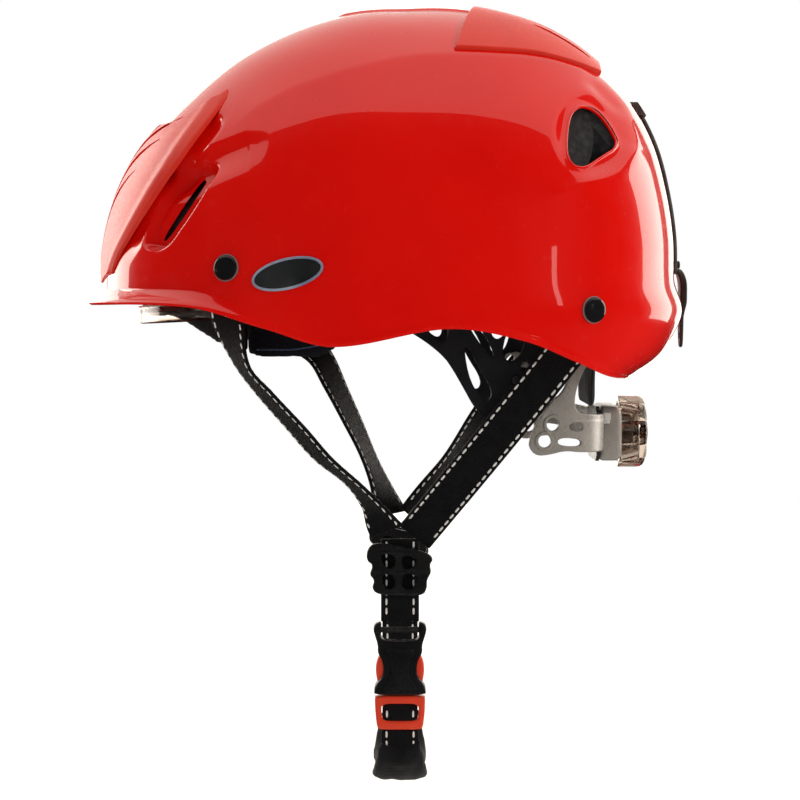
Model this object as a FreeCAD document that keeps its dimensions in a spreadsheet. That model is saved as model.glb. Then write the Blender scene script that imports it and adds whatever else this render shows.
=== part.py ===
import FreeCAD, Part
import Sketcher
import math
import os
from FreeCAD import Matrix, Placement, Rotation, Vector

# Climbing helmet. Front is -X, rear is +X, the wearer's left is -Y and +Z is up. Millimetres.
# The origin is the head seat: the middle of the wearer's head at brow level.

doc = FreeCAD.newDocument("climbing_helmet")
sheet = doc.addObject("Spreadsheet::Sheet", "Dims")

DIMENSIONS = [
    ("shell_wall", 2.2, "wall of the moulded outer shell"),
    ("liner_gap", 0.4, "space between the shell and the foam"),
    ("liner_wall", 18.0, "thickness of the foam liner"),
    ("dome_centre", 5.0, "x of the axis through the crown"),
    ("dome_floor", -40.0, "level at which the untrimmed dome is closed"),
    ("brim_reach", 8.0, "how far the brim stands out in front"),
    ("brim_plate", 2.2, "thickness of the brim"),
    ("plate_proud", 3.2, "how far the applied vent plates stand out"),
    ("plate_gap", 0.15, "space under applied plates"),
    ("badge_long", 16.6, "half length of the side badge"),
    ("badge_short", 7.0, "half height of the side badge"),
    ("badge_proud", 1.1, "height of the badge"),
    ("rivet_head", 6.0, "radius of a rivet's outer head"),
    ("rivet_crown", 2.6, "height of a rivet's outer head"),
    ("rivet_shank", 2.0, "radius of a rivet's shank"),
    ("rivet_reach", 7.0, "shank length under the outer head"),
    ("washer_outer", 5.2, "radius of the backing washer"),
    ("washer_thick", 0.9, "thickness of the backing washer"),
    ("web_width", 18.0, "width of the webbing"),
    ("web_thick", 1.5, "thickness of the webbing"),
    ("web_side", 36.5, "distance of the hanging webbing from the middle plane"),
    ("chin_x", 7.3, "x of the yokes and the buckle"),
    ("yoke_level", -127.0, "level of the middle of each yoke"),
    ("yoke_plate", 2.4, "front wall of a yoke"),
    ("yoke_back", 2.2, "back wall of a yoke"),
    ("yoke_slot", 3.1, "gap in a yoke for the webbing"),
    ("yoke_slot_width", 19.2, "width of the gap in a yoke"),
    ("socket_wide", 24.0, "width of the buckle socket"),
    ("socket_tall", 34.5, "height of the buckle socket"),
    ("socket_deep", 9.0, "depth of the buckle socket"),
    ("socket_mouth", -186.5, "level of the socket's open end"),
    ("plug_wide", 23.6, "width of the plug's frame"),
    ("plug_deep", 6.6, "depth of the plug's frame"),
    ("plug_tall", 16.5, "height of the plug's frame"),
    ("prong_deep", 4.2, "depth of a prong"),
    ("chin_bottom", -229.0, "lowest level of the chin webbing"),
    ("chin_bend", 23.0, "bend radius of the chin webbing"),
    ("pad_half", 3.4, "half thickness of the chin pad"),
    ("pad_wide", 27.0, "width of the chin pad"),
    ("cradle_wall", 2.2, "wall of the cradle arms"),
    ("cradle_back", 104.0, "x of the cradle's rear run"),
    ("cradle_bend", 32.0, "corner radius of the cradle"),
    ("cradle_top_side", 72.0, "half width of the cradle at its top"),
    ("cradle_low_side", 58.0, "half width of the cradle at its foot"),
    ("pivot_x", 28.0, "x of the cradle pivots"),
    ("pivot_z", 2.0, "level of the cradle pivots"),
    ("pin_radius", 2.4, "radius of a cradle pin"),
    ("knob_level", -64.0, "level of the knob axis"),
    ("knob_radius", 17.4, "outer radius of the knob"),
    ("knob_deep", 13.0, "depth of the knob"),
    ("housing_wide", 48.0, "width of the ratchet housing"),
    ("housing_tall", 27.0, "height of the ratchet housing"),
    ("housing_deep", 12.0, "depth of the ratchet housing"),
    ("housing_wall", 1.8, "wall of the ratchet housing"),
    ("pinion_pitch", 6.0, "pitch radius of the pinion"),
    ("pinion_teeth", 10.0, "teeth on the pinion"),
    ("axle_radius", 2.0, "radius of the knob's axle"),
    ("rack_long", 30.0, "length of a rack"),
    ("retainer_wide", 12.0, "width of the lamp retainer"),
    ("retainer_thick", 2.6, "thickness of the lamp retainer"),
    ("retainer_gap", 0.6, "space between the retainer and the shell"),
]

for row, (alias, value, note) in enumerate(DIMENSIONS, start=1):
    sheet.set(f"A{row}", alias)
    sheet.set(f"B{row}", str(value))
    sheet.set(f"C{row}", note)
    sheet.setAlias(f"B{row}", alias)
doc.recompute()

def dim(alias):
    """The value of one driving dimension."""
    return float(sheet.get(alias))

# ---------------------------------------------------------------- the dome

# Radius from the dome's centre against elevation in degrees, along the front, the rear and the side.
FRONT = [(-24, 133), (-10, 139), (0, 140.5), (10, 141.5), (24, 141.8), (34, 140.4), (44, 138.2),
         (56, 137.9), (68, 137.8), (79, 138.4), (90, 140)]
REAR = [(-26, 99), (-18, 117), (-12, 129.4), (-7, 135), (-2, 138), (4, 134.6), (12, 136.6),
        (22, 140.2), (31, 144.5), (39, 147), (48, 147.4), (60, 147), (70, 144.4), (80, 141.8), (90, 140)]
SIDE = [(-24, 118), (-10, 113.6), (0, 112.5), (15, 113.5), (30, 117), (45, 122.5), (60, 130),
        (75, 137), (90, 140)]
SQUARENESS = 0.3

def smooth(points, at):
    """Cubic interpolation through (position, value) pairs."""
    last = len(points) - 1
    at = min(max(at, points[0][0]), points[last][0])
    i = next(k for k in range(last) if at <= points[k + 1][0])

    def slope(k):
        if k == 0:
            k = 1
        if k == last:
            k = last - 1
        (a, va), (b, vb) = points[k - 1], points[k + 1]
        return (vb - va) / (b - a)

    (a, va), (b, vb) = points[i], points[i + 1]
    u = (at - a) / (b - a)
    bend = u * u * (3 - 2 * u)
    rise = slope(i) * (u ** 3 - 2 * u * u + u) + slope(i + 1) * (u ** 3 - u * u)
    return va + (vb - va) * bend + rise * (b - a)

def dome_radius(azimuth, elevation):
    """Radius of the shell's outer face. Azimuth 0 is the rear and 180 the front."""
    turn = math.radians(azimuth)
    along = smooth(REAR if math.cos(turn) > 0 else FRONT, elevation)
    across = smooth(SIDE, elevation)
    power = 2 + SQUARENESS * math.cos(math.radians(elevation)) ** 2
    reach = abs(math.cos(turn) / along) ** power + abs(math.sin(turn) / across) ** power
    return reach ** (-1 / power)

def dome_point(azimuth, elevation, inset=0.0):
    """A point of the outer face, moved inward by inset."""
    radius = dome_radius(azimuth, elevation) - inset
    turn, rise = math.radians(azimuth), math.radians(elevation)
    level = radius * math.cos(rise)
    return Vector(dim("dome_centre") + level * math.cos(turn), level * math.sin(turn),
        radius * math.sin(rise))

def dome_point_at_level(azimuth, level, inset=0.0):
    """The point of the face at a height, found by halving."""
    low, high = -26.0, 90.0
    for _ in range(40):
        middle = (low + high) / 2
        if dome_point(azimuth, middle, inset).z < level:
            low = middle
        else:
            high = middle
    return dome_point(azimuth, low, inset)

def face_point(x, z, side=-1):
    """The point of the outer face that has this x and z, on the given side."""
    low, high = (90.0, 180.0) if x < dim("dome_centre") else (0.0, 90.0)
    for _ in range(40):
        middle = (low + high) / 2
        forward = dome_point_at_level(middle, z).x > x
        low, high = (middle, high) if forward else (low, middle)
    point = dome_point_at_level(low, z)
    return Vector(point.x, side * point.y, point.z)

def face_normal(x, z, side=-1):
    """The outward normal of the outer face at this x and z."""
    step = 2.0
    along = face_point(x + step, z, side) - face_point(x - step, z, side)
    up = face_point(x, z + step, side) - face_point(x, z - step, side)
    normal = along.cross(up)
    normal.normalize()
    return normal if normal.y * side > 0 else -normal

RINGS = [-0.2, -0.12, -0.06, 0, 0.06, 0.14, 0.26, 0.4, 0.54, 0.67, 0.78, 0.87, 0.94, 0.98, 0.9985]
RING_POINTS = 24
MADE_DOMES = {}

def dome(inset):
    """The dome's closed solid, inset from the shell's outer face."""
    if inset in MADE_DOMES:
        return MADE_DOMES[inset]
    crown = dome_point(0, 90, inset).z
    levels = [dim("dome_floor")] + [crown * share for share in RINGS]
    wires = []
    for level in levels:
        points = [dome_point_at_level(360 * k / RING_POINTS, level, inset) for k in range(RING_POINTS)]
        curve = Part.BSplineCurve()
        curve.interpolate(Points=[Vector(p.x, p.y, level) for p in points], PeriodicFlag=True)
        wires.append(Part.Wire(curve.toShape()))
    MADE_DOMES[inset] = Part.makeLoft(wires, True, False)
    return MADE_DOMES[inset]

def side_prism(points):
    """A closed outline in the side view, carried along Y right through the helmet."""
    corners = [Vector(x, -150, z) for x, z in points]
    face = Part.Face(Part.makePolygon(corners + [corners[0]]))
    return face.extrude(Vector(0, 300, 0))

RIM = [(-170, -0.6), (-84, -2.0), (-52, -11.5), (-22, -19.4), (29, -11.6), (62, -17.0),
       (86, -26.6), (104, -34.0), (125, -36.0), (170, -36.0)]

def below_rim(lift=0.0):
    """Everything under the rim line, raised by lift."""
    curve = Part.BSplineCurve()
    curve.interpolate([Vector(x, -160, z + lift) for x, z in RIM])
    first, last = curve.StartPoint, curve.EndPoint
    low = -90.0
    edges = [
        curve.toShape(),
        Part.makeLine(last, Vector(last.x, -160, low)),
        Part.makeLine(Vector(last.x, -160, low), Vector(first.x, -160, low)),
        Part.makeLine(Vector(first.x, -160, low), first),
    ]
    return Part.Face(Part.Wire(edges)).extrude(Vector(0, 320, 0))

# ------------------------------------------------------------ small helpers

SUBPARTS = []

def keep(obj, name):
    """Name a sub-part and put it on the list to write."""
    obj.Label = name
    SUBPARTS.append(obj)
    return obj

def solid(name, shape):
    """A sub-part whose shape is made in code."""
    feature = doc.addObject("Part::Feature", name)
    feature.Shape = shape
    return keep(feature, name)

def mirrored(name, source):
    """The same sub-part on the wearer's right."""
    feature = doc.addObject("Part::Mirroring", name)
    feature.Source = source
    feature.Normal = Vector(0, 1, 0)
    feature.Base = Vector(0, 0, 0)
    return keep(feature, name)

def new_body(name, placement=None):
    body = doc.addObject("PartDesign::Body", name)
    if placement:
        body.Placement = placement
    return keep(body, name)

def sketch_on(body, role, name):
    """A sketch on one of the body's own origin planes."""
    sketch = body.newObject("Sketcher::SketchObject", f"{body.Name}_{name}")
    plane = next(p for p in body.Origin.OriginFeatures if p.Role == role)
    sketch.AttachmentSupport = [(plane, "")]
    sketch.MapMode = "FlatFace"
    return sketch

def draw_outline(sketch, points):
    corners = [Vector(x, y, 0) for x, y in points]
    for k, corner in enumerate(corners):
        sketch.addGeometry(Part.LineSegment(corner, corners[(k + 1) % len(corners)]), False)

def draw_box(sketch, low_x, low_y, high_x, high_y):
    draw_outline(sketch, [(low_x, low_y), (high_x, low_y), (high_x, high_y), (low_x, high_y)])

def draw_circle(sketch, x, y, alias):
    """A circle whose radius is bound to the sheet."""
    which = sketch.addGeometry(Part.Circle(Vector(x, y, 0), Vector(0, 0, 1), dim(alias)), False)
    rule = sketch.addConstraint(Sketcher.Constraint("Radius", which, dim(alias)))
    sketch.setExpression(f"Constraints[{rule}]", f"Dims.{alias}")

def pad(body, sketch, length, reverse=False, midplane=False):
    """Pad a sketch. length is an expression of the sheet's names or a number."""
    feature = body.newObject("PartDesign::Pad", f"{sketch.Name}_pad")
    feature.Profile = sketch
    feature.Midplane = midplane
    feature.Reversed = reverse
    feature.setExpression("Length", str(length))
    doc.recompute()
    return feature

def pocket_through(body, sketch):
    """Cut a sketch right through, both ways."""
    feature = body.newObject("PartDesign::Pocket", f"{sketch.Name}_cut")
    feature.Profile = sketch
    feature.Type = 1
    feature.Midplane = True
    doc.recompute()
    return feature

def fillet(body, base, radius, wanted):
    """Round the edges of base that wanted() picks."""
    names = [f"Edge{k + 1}" for k, edge in enumerate(base.Shape.Edges) if wanted(edge)]
    feature = body.newObject("PartDesign::Fillet", f"{base.Name}_round")
    feature.Base = (base, names)
    feature.Radius = radius
    doc.recompute()
    if "Invalid" in feature.State or feature.Shape.isNull() or not feature.Shape.isValid():
        raise RuntimeError(f"{feature.Name} can't be rounded")
    return feature

def faces_left():
    """Turns a flat body so that its thickness runs towards the wearer's left."""
    return Rotation(Vector(1, 0, 0), 90)

def upright(edge):
    """True for an edge along the body's own thickness."""
    low, high = edge.BoundBox.ZMin, edge.BoundBox.ZMax
    return high - low > 0.5 and edge.BoundBox.XLength < 0.01 and edge.BoundBox.YLength < 0.01

def on_level(level):
    """Picks the edges that lie on one level of the body's own thickness."""
    return lambda edge: abs(edge.BoundBox.ZMin - level) < 0.01 and abs(edge.BoundBox.ZMax - level) < 0.01

# ------------------------------------------------------- shell, foam, plates

FRONT_RIVET = (-68.8, 14.0)
REAR_RIVET = (92.8, -4.4)
BADGE = (-41.5, 11.3)
BADGE_TILT = 12.0

SIDE_VENT = [(84.5, 83), (92.2, 86.3), (98, 84), (103.5, 77.5), (106, 70), (91, 60.8), (85.5, 61.6),
    (83.4, 68)]
SCOOP_SLIT = [(-85.4, 52.6), (-81.6, 51.2), (-98.4, 24.6), (-102, 26.2)]
COVER = [(31, 112.5), (42.5, 150), (125, 150), (104, 103.5), (86, 108.5), (67, 111.8)]
LOUVRES = [-30, -18, -6, 6, 18, 30]

def turned_to_face(x, z, side=-1, lift=0.0):
    """Placement with the local Z axis along the shell's normal at this x and z."""
    normal = face_normal(x, z, side)
    return Placement(face_point(x, z, side) + normal * lift, Rotation(Vector(0, 0, 1), normal))

def rivet_holes(radius, reach=12.0):
    """Bores for the four strap rivets."""
    bores = []
    for x, z in (FRONT_RIVET, REAR_RIVET):
        for side in (-1, 1):
            bore = Part.makeCylinder(radius, 2 * reach, Vector(0, 0, -reach))
            bore.Placement = turned_to_face(x, z, side)
            bores.append(bore)
    return bores

def brim():
    """The lip that runs round the front of the rim and fades out at the temples."""
    reach = dim("brim_reach")
    outer = []
    for k in range(25):
        azimuth = 112 + 136 * k / 24
        fade = min(max((-math.cos(math.radians(azimuth)) - 0.38) / 0.45, 0), 1)
        outer.append(dome_point_at_level(azimuth, 0, -reach * fade * fade * (3 - 2 * fade) - 0.05))
    inner = [dome_point_at_level(112 + 136 * k / 24, 0, 2.1) for k in range(24, -1, -1)]
    thick = dim("brim_plate")
    edges = []
    for run in (outer, inner):
        curve = Part.BSplineCurve()
        curve.interpolate([Vector(p.x, p.y, -thick) for p in run])
        edges.append(curve.toShape())
    ends = [
        Part.makeLine(edges[0].Vertexes[-1].Point, edges[1].Vertexes[0].Point),
        Part.makeLine(edges[1].Vertexes[-1].Point, edges[0].Vertexes[0].Point),
    ]
    face = Part.Face(Part.Wire([edges[0], ends[0], edges[1], ends[1]]))
    return face.extrude(Vector(0, 0, thick))

def louvre_slots(low, high):
    """Fore-and-aft slots through the rear slope of the crown."""
    return [Part.makeBox(26, 4.5, high - low, Vector(68, y - 2.25, low)) for y in LOUVRES]

def make_shell():
    wall = dim("shell_wall")
    shell = dome(0).cut(dome(wall)).cut(below_rim())
    shell = shell.fuse(brim())
    openings = [side_prism(SIDE_VENT), side_prism(SCOOP_SLIT)] + louvre_slots(100, 150)
    return shell.cut(Part.makeCompound(openings + rivet_holes(dim("rivet_shank") + 0.1)))

# Each row: lowest x, highest x, top level and the distance from the middle plane.
# The straps pass through the first two, and the cradle's arms swing up into the last.
STRAP_NOTCHES = [(-86.0, -44.0, 28.0, 88.0), (70.0, 110.0, 16.0, 76.0), (80.0, 106.0, -10.0, 48.0)]

def make_liner():
    outer = dim("shell_wall") + dim("liner_gap")
    foam = dome(outer).cut(dome(outer + dim("liner_wall"))).cut(below_rim(7.0))
    notches = []
    for low_x, high_x, top, inner in STRAP_NOTCHES:
        for start in (-inner - 60, inner):
            notches.append(Part.makeBox(high_x - low_x, 60, top + 50, Vector(low_x, start, -50)))
    small_vent = side_prism([(87, 81), (95, 82.5), (101.5, 76), (102, 70), (91, 64), (87, 66)])
    foam = foam.cut(Part.makeCompound(notches + [small_vent]))
    return max(foam.Solids, key=lambda lump: lump.Volume)

def plate_blank(top=0.0):
    """A skin that lies on the shell, to be cut to an outline."""
    return dome(-dim("plate_proud") - top).cut(dome(-dim("plate_gap")))

def make_cover():
    skin = plate_blank(0.4).common(side_prism(COVER))
    return skin.cut(Part.makeCompound(louvre_slots(90, 160)))

GRILLE = [(0, 8), (49, 12), (60, 23), (67, 35), (71.5, 50), (72, 60), (70.5, 72), (66.5, 84),
          (61, 93.5), (54, 93), (47, 86), (34, 83), (0, 87)]
GRILLE_SLOTS = [(14, 22, 46, 46), (15, 40, 48, 61), (17, 56, 50, 75), (20, 72, 52, 88)]

def make_grille():
    """The front plate: a broad shield with sloping slots on each side."""
    outline = GRILLE + [(-y, z) for y, z in reversed(GRILLE[1:-1])]
    corners = [Vector(-170, y, z) for y, z in outline]
    shield = Part.Face(Part.makePolygon(corners + [corners[0]])).extrude(Vector(120, 0, 0))
    plate = plate_blank().common(shield)
    slots = []
    for y_low, z_low, y_high, z_high in GRILLE_SLOTS:
        for side in (-1, 1):
            points = [(y_low, z_low), (y_high, z_high), (y_high - 3, z_high - 7), (y_low + 1, z_low - 6)]
            loop = [Vector(-170, side * y, z) for y, z in points]
            slots.append(Part.Face(Part.makePolygon(loop + [loop[0]])).extrude(Vector(120, 0, 0)))
    return plate.cut(Part.makeCompound(slots))

def make_badge():
    """The oval side badge, curved with the shell."""
    oval = Part.Ellipse(Vector(0, 0, 0), dim("badge_long"), dim("badge_short"))
    prism = Part.Face(Part.Wire(oval.toShape())).extrude(Vector(0, 0, 30))
    prism.translate(Vector(0, 0, -15))
    x, z = BADGE
    normal = face_normal(x, z)
    along = Vector(1, 0, 0) - normal * normal.x
    along.normalize()
    up = normal.cross(along)
    frame = Matrix()
    for row, (a, b, c, d) in enumerate(zip(along, up, normal, face_point(x, z))):
        for column, value in enumerate((a, b, c, d), start=1):
            setattr(frame, f"A{row + 1}{column}", value)
    tilt = Rotation(Vector(0, 0, 1), BADGE_TILT if up.z > 0 else -BADGE_TILT)
    prism.Placement = Placement(frame).multiply(Placement(Vector(), tilt))
    return dome(-dim("badge_proud")).cut(dome(-0.1)).common(prism)

def make_crown_pad():
    """The soft pad under the crown of the foam."""
    depth = dim("shell_wall") + dim("liner_gap") + dim("liner_wall")
    column = Part.makeCylinder(42, 60, Vector(8, 0, 90))
    return dome(depth + 0.5).cut(dome(depth + 6.5)).common(column)

# ------------------------------------------------------------ rivets

def make_rivet(name, x, z):
    """A black rivet: a rounded outer head and a shank."""
    body = new_body(name, turned_to_face(x, z, -1, 0.35))
    disc = sketch_on(body, "XY_Plane", "head")
    draw_circle(disc, 0, 0, "rivet_head")
    head = pad(body, disc, "Dims.rivet_crown")
    fillet(body, head, dim("rivet_crown") * 0.72, on_level(dim("rivet_crown")))
    stem = sketch_on(body, "XY_Plane", "stem")
    draw_circle(stem, 0, 0, "rivet_shank")
    pad(body, stem, "Dims.rivet_reach", reverse=True)
    return body

def make_washer(x, z, side):
    """The steel washer on a rivet's inner end."""
    thick = dim("washer_thick")
    start = -dim("rivet_reach") + 0.35 + 0.2
    ring = Part.makeCylinder(dim("washer_outer"), thick, Vector(0, 0, start))
    ring = ring.cut(Part.makeCylinder(dim("rivet_shank") + 0.05, thick + 2, Vector(0, 0, start - 1)))
    ring.Placement = turned_to_face(x, z, side)
    return ring

# ------------------------------------------------------------ webbing

def web_section(middle, across, facing):
    """The webbing's cross-section as a closed wire."""
    across = Vector(across)
    across.normalize()
    facing = Vector(facing) - across * across.dot(Vector(facing))
    facing.normalize()
    half, thin = across * (dim("web_width") / 2), facing * (dim("web_thick") / 2)
    middle = Vector(middle)
    corners = [middle - half - thin, middle + half - thin, middle + half + thin, middle - half + thin]
    return Part.makePolygon(corners + [corners[0]])

def strap(stations):
    """A flat strap through its cross-sections, straight between them."""
    return Part.makeLoft([web_section(*station) for station in stations], True, True)

def rivet_station(rivet, up, inset):
    """Where the strap lies against the shell, a little above or below its rivet."""
    x, z = rivet
    normal = face_normal(x, z)
    along = Vector(1, 0, 0) - normal * normal.x
    along.normalize()
    rise = normal.cross(along)
    rise = rise if rise.z > 0 else -rise
    return (face_point(x, z) - normal * inset + rise * up, along, normal)

# Each strap hangs a little differently, as slack webbing does.
# Rows are x, distance from the middle plane, z, and how far the webbing is turned edge-on, in degrees.
STRAPS = {
    "front_strap_left": (FRONT_RIVET, (3.8, 4.4), [
        (-69.5, 89.5, -6.5, 30.0),
        (-64.1, 81.5, -28.2, 66.0),
        (-54.5, 74.5, -41.5, 67.0),
        (-40.1, 65.5, -58.6, 64.0),
        (-28.1, 58.0, -73.1, 66.0),
        (-14.0, 51.0, -85.8, 70.0),
        (-4.5, 45.0, -97.6, 55.0),
        (1.2, 39.8, -108.6, 22.0),
    ], -1),
    "front_strap_right": (FRONT_RIVET, (3.8, 4.4), [
        (-60.5, 91.0, -6.0, 10.0),
        (-46.0, 87.5, -19.0, 20.0),
        (-34.3, 82.0, -31.0, 48.0),
        (-26.6, 74.5, -45.5, 55.0),
        (-17.5, 64.0, -63.0, 62.0),
        (-8.5, 54.0, -81.5, 68.0),
        (-1.5, 45.5, -97.0, 55.0),
        (2.2, 39.8, -108.8, 22.0),
    ], 1),
    "rear_strap_left": (REAR_RIVET, (4.2, 4.8), [
        (79.0, 82.0, -26.0, 6.0),
        (54.2, 69.6, -58.6, 4.0),
        (14.2, 36.7, -111.5, 0.0),
    ], -1),
    "rear_strap_right": (REAR_RIVET, (4.2, 4.8), [
        (79.0, 82.4, -26.0, 8.0),
        (54.2, 72.6, -58.6, 18.0),
        (33.0, 56.0, -86.0, 45.0),
        (14.2, 38.0, -111.0, 12.0),
    ], 1),
}

def turned_across(heading, turn):
    """A strap's width direction: 0 degrees shows its full width from the side, 90 shows its edge."""
    heading = Vector(heading)
    heading.normalize()
    level = Vector(0, 1, 0).cross(heading)
    level.normalize()
    if level.x < 0:
        level = -level
    outward = heading.cross(level)
    if outward.y > 0:
        outward = -outward
    angle = math.radians(turn)
    return level * math.cos(angle) + outward * math.sin(angle)

def hung_strap(rivet, insets, path, side):
    """A strap from a rivet down its path: rows of x, distance from the middle plane, z and turn."""
    ups = (9.0, -5.0)
    stations = [rivet_station(rivet, up, inset) for up, inset in zip(ups, insets)]
    points = [stations[-1][0]] + [Vector(x, -away, z) for x, away, z, turn in path]
    for k, (x, away, z, turn) in enumerate(path):
        after = points[min(k + 2, len(path))]
        across = turned_across(after - points[k], turn)
        stations.append((points[k + 1], across, across.cross(after - points[k])))
    for k in range(1, len(stations)):
        middle, across, facing = stations[k]
        if facing.dot(stations[k - 1][2]) < 0:
            stations[k] = (middle, across, -facing)
    body = strap(stations)
    return body if side < 0 else body.mirror(Vector(0, 0, 0), Vector(0, 1, 0))

def ribbon(path_half, wide, middle_x):
    """A closed outline in the YZ plane, carried along X to the wanted width."""
    return Part.Face(path_half).extrude(Vector(wide, 0, 0)).translated(Vector(middle_x - wide / 2, 0, 0))

def loop_outline(half, near_top, far_top):
    """The U of the chin webbing, seen from the front: a band of thickness 2 * half."""
    side, bottom, bend = dim("web_side"), dim("chin_bottom"), dim("chin_bend")

    def u_line(offset):
        """Points and arc middles of the U at a distance from its middle line."""
        r = bend + offset
        y, z = side + offset, bottom - offset
        cut = r * (1 - math.sqrt(0.5))
        return [Vector(0, -y, near_top), Vector(0, -y, z + r), Vector(0, -y + cut, z + cut),
            Vector(0, -y + r, z),
                Vector(0, y - r, z), Vector(0, y - cut, z + cut), Vector(0, y, z + r), Vector(0, y,
                    far_top)]

    outer, inner = u_line(half), u_line(-half)
    edges = []
    for p in (outer, inner):
        edges += [
            Part.makeLine(p[0], p[1]),
            Part.Arc(p[1], p[2], p[3]).toShape(),
            Part.makeLine(p[3], p[4]),
            Part.Arc(p[4], p[5], p[6]).toShape(),
            Part.makeLine(p[6], p[7]),
        ]
    edges += [Part.makeLine(outer[0], inner[0]), Part.makeLine(outer[-1], inner[-1])]
    return Part.Wire(Part.__sortEdges__(edges))

PLUG_FOOT_GAP = 0.3
FAR_WEB_TOP = -117.6
PAD_NEAR_TOP = -203.6

def make_chin_webbing():
    """The lower webbing: from the plug, through the chin pad and up to the far yoke."""
    near_top = dim("socket_mouth") - dim("plug_tall") - PLUG_FOOT_GAP
    return ribbon(loop_outline(dim("web_thick") / 2, near_top, FAR_WEB_TOP), dim("web_width"),
        dim("chin_x"))

def make_chin_pad():
    """A soft sleeve round the bottom of the chin webbing."""
    top = PAD_NEAR_TOP
    outer = ribbon(loop_outline(dim("pad_half"), top, top), dim("pad_wide"), dim("chin_x"))
    core = loop_outline(dim("web_thick") / 2 + 0.2, top + 5, top + 5)
    return outer.cut(ribbon(core, dim("web_width") + 0.4, dim("chin_x")))

def make_upper_chin_strap():
    """The short webbing from the near yoke down to the buckle."""
    top, foot = -112.5, dim("socket_mouth") + dim("socket_tall") + 0.2
    wide, thin = dim("web_width"), dim("web_thick")
    return Part.makeBox(wide, thin, top - foot, Vector(dim("chin_x") - wide / 2,
        -dim("web_side") - thin / 2, foot))

# ------------------------------------------------------------ yoke

YOKE = [(-15.6, 8.5), (-13.2, 12.2), (-9.5, 12.9), (1, 10.6), (13.2, 8.2), (15.8, 5.2), (14.2, -2.0),
        (11.9, -8.6), (11.2, -12.2), (-11.2, -11.6), (-12.4, -8.0), (-14.0, -1.6)]
YOKE_WINDOWS = [(-9.6, 0.6, -2.6, 8.0), (1.0, 0.2, 8.6, 7.0), (-8.2, -9.2, -2.6, -1.6),
    (1.0, -9.6, 7.6, -2.2)]

def make_yoke():
    """The strap divider: a ladder plate in front of the slot that the webbing runs through."""
    back_face = dim("web_side") - 0.4 - dim("web_thick") / 2 - dim("yoke_back")
    place = Placement(Vector(dim("chin_x"), -back_face, dim("yoke_level")), faces_left())
    body = new_body("yoke_left", place)
    outline = sketch_on(body, "XY_Plane", "outline")
    draw_outline(outline, YOKE)
    plate = pad(body, outline, "Dims.yoke_back + Dims.yoke_slot + Dims.yoke_plate")
    deep = dim("yoke_back") + dim("yoke_slot") + dim("yoke_plate")
    rounded = fillet(body, plate, 1.1, upright)
    fillet(body, rounded, 0.8, on_level(deep))
    windows = sketch_on(body, "XY_Plane", "windows")
    for window in YOKE_WINDOWS:
        draw_box(windows, *window)
    pocket_through(body, windows)
    slot = sketch_on(body, "XZ_Plane", "slot")
    half = dim("yoke_slot_width") / 2
    low = dim("yoke_back")
    draw_box(slot, -half, low, half, low + dim("yoke_slot"))
    pocket_through(body, slot)
    return body

# ------------------------------------------------------------ buckle

def buckle_place(y_out):
    """Local x is X, local y is up from the socket's mouth, local z is towards the wearer's left."""
    return Placement(Vector(dim("chin_x"), -y_out, dim("socket_mouth")), faces_left())

def make_socket():
    """The socket half of the side-release buckle."""
    deep, wide, tall = dim("socket_deep"), dim("socket_wide"), dim("socket_tall")
    body = new_body("buckle_socket", buckle_place(dim("web_side") - deep / 2))
    outline = sketch_on(body, "XY_Plane", "outline")
    half = wide / 2
    draw_outline(outline, [(-half, 0), (half, 0), (half, 5.2), (half - 3.6, 8.4), (half - 4.2, 13),
        (half - 3.2, 18),
                           (half - 1.4, 21), (half - 1.8, 25), (half + 0.6, 30), (half + 0.6, tall - 1.4),
                           (half - 1.0, tall), (1 - half, tall), (-half - 0.6,
                               tall - 1.4), (-half - 0.6, 30),
                           (1.8 - half, 25), (1.4 - half, 21), (3.2 - half, 18), (4.2 - half, 13),
                           (3.6 - half, 8.4), (-half, 5.2)])
    plate = pad(body, outline, "Dims.socket_deep")
    rounded = fillet(body, plate, 0.6, upright)
    fillet(body, rounded, 1.3, lambda edge: on_level(deep)(edge) or on_level(0)(edge))
    mouth = sketch_on(body, "XZ_Plane", "mouth")
    draw_box(mouth, -10.3, deep / 2 - 2.5, 10.3, deep / 2 + 2.5)
    cavity = body.newObject("PartDesign::Pocket", "buckle_socket_cavity")
    cavity.Profile = mouth
    cavity.Type = 0
    cavity.Length = 24.0
    doc.recompute()
    before = body.Shape.Volume
    cavity.Reversed = True
    doc.recompute()
    if body.Shape.Volume > before:
        cavity.Reversed = False
        doc.recompute()
    web_slot = sketch_on(body, "XY_Plane", "web_slot")
    draw_box(web_slot, -9.3, 26.6, 9.3, 29.6)
    pocket_through(body, web_slot)
    return body

def make_plug():
    """The plug half: a frame for the webbing and a middle rail that enters the socket."""
    deep, half, tall = dim("plug_deep"), dim("plug_wide") / 2, dim("plug_tall")
    body = new_body("buckle_plug", buckle_place(dim("web_side") - deep / 2))
    outline = sketch_on(body, "XY_Plane", "outline")
    draw_outline(outline, [(-half, -0.4), (-half - 0.1, -4), (1.2 - half, -tall + 1.5), (2.6 - half, -tall),
                           (half - 2.6, -tall), (half - 1.2, -tall + 1.5), (half + 0.1, -4), (half, -0.4)])
    frame = pad(body, outline, "Dims.plug_deep")
    rounded = fillet(body, frame, 0.8, upright)
    fillet(body, rounded, 1.1, lambda edge: on_level(deep)(edge) or on_level(0)(edge))
    window = sketch_on(body, "XY_Plane", "window")
    draw_box(window, -9.3, -tall + 4.0, 9.3, -4.4)
    pocket_through(body, window)
    rail = sketch_on(body, "XY_Plane", "rail")
    rail.AttachmentOffset = Placement(Vector(0, 0, (deep - 3.2) / 2), Rotation())
    draw_outline(rail, [(-2.4, -2), (2.4, -2), (1.8, 20), (-1.8, 20)])
    pad(body, rail, 3.2)
    return body

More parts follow.
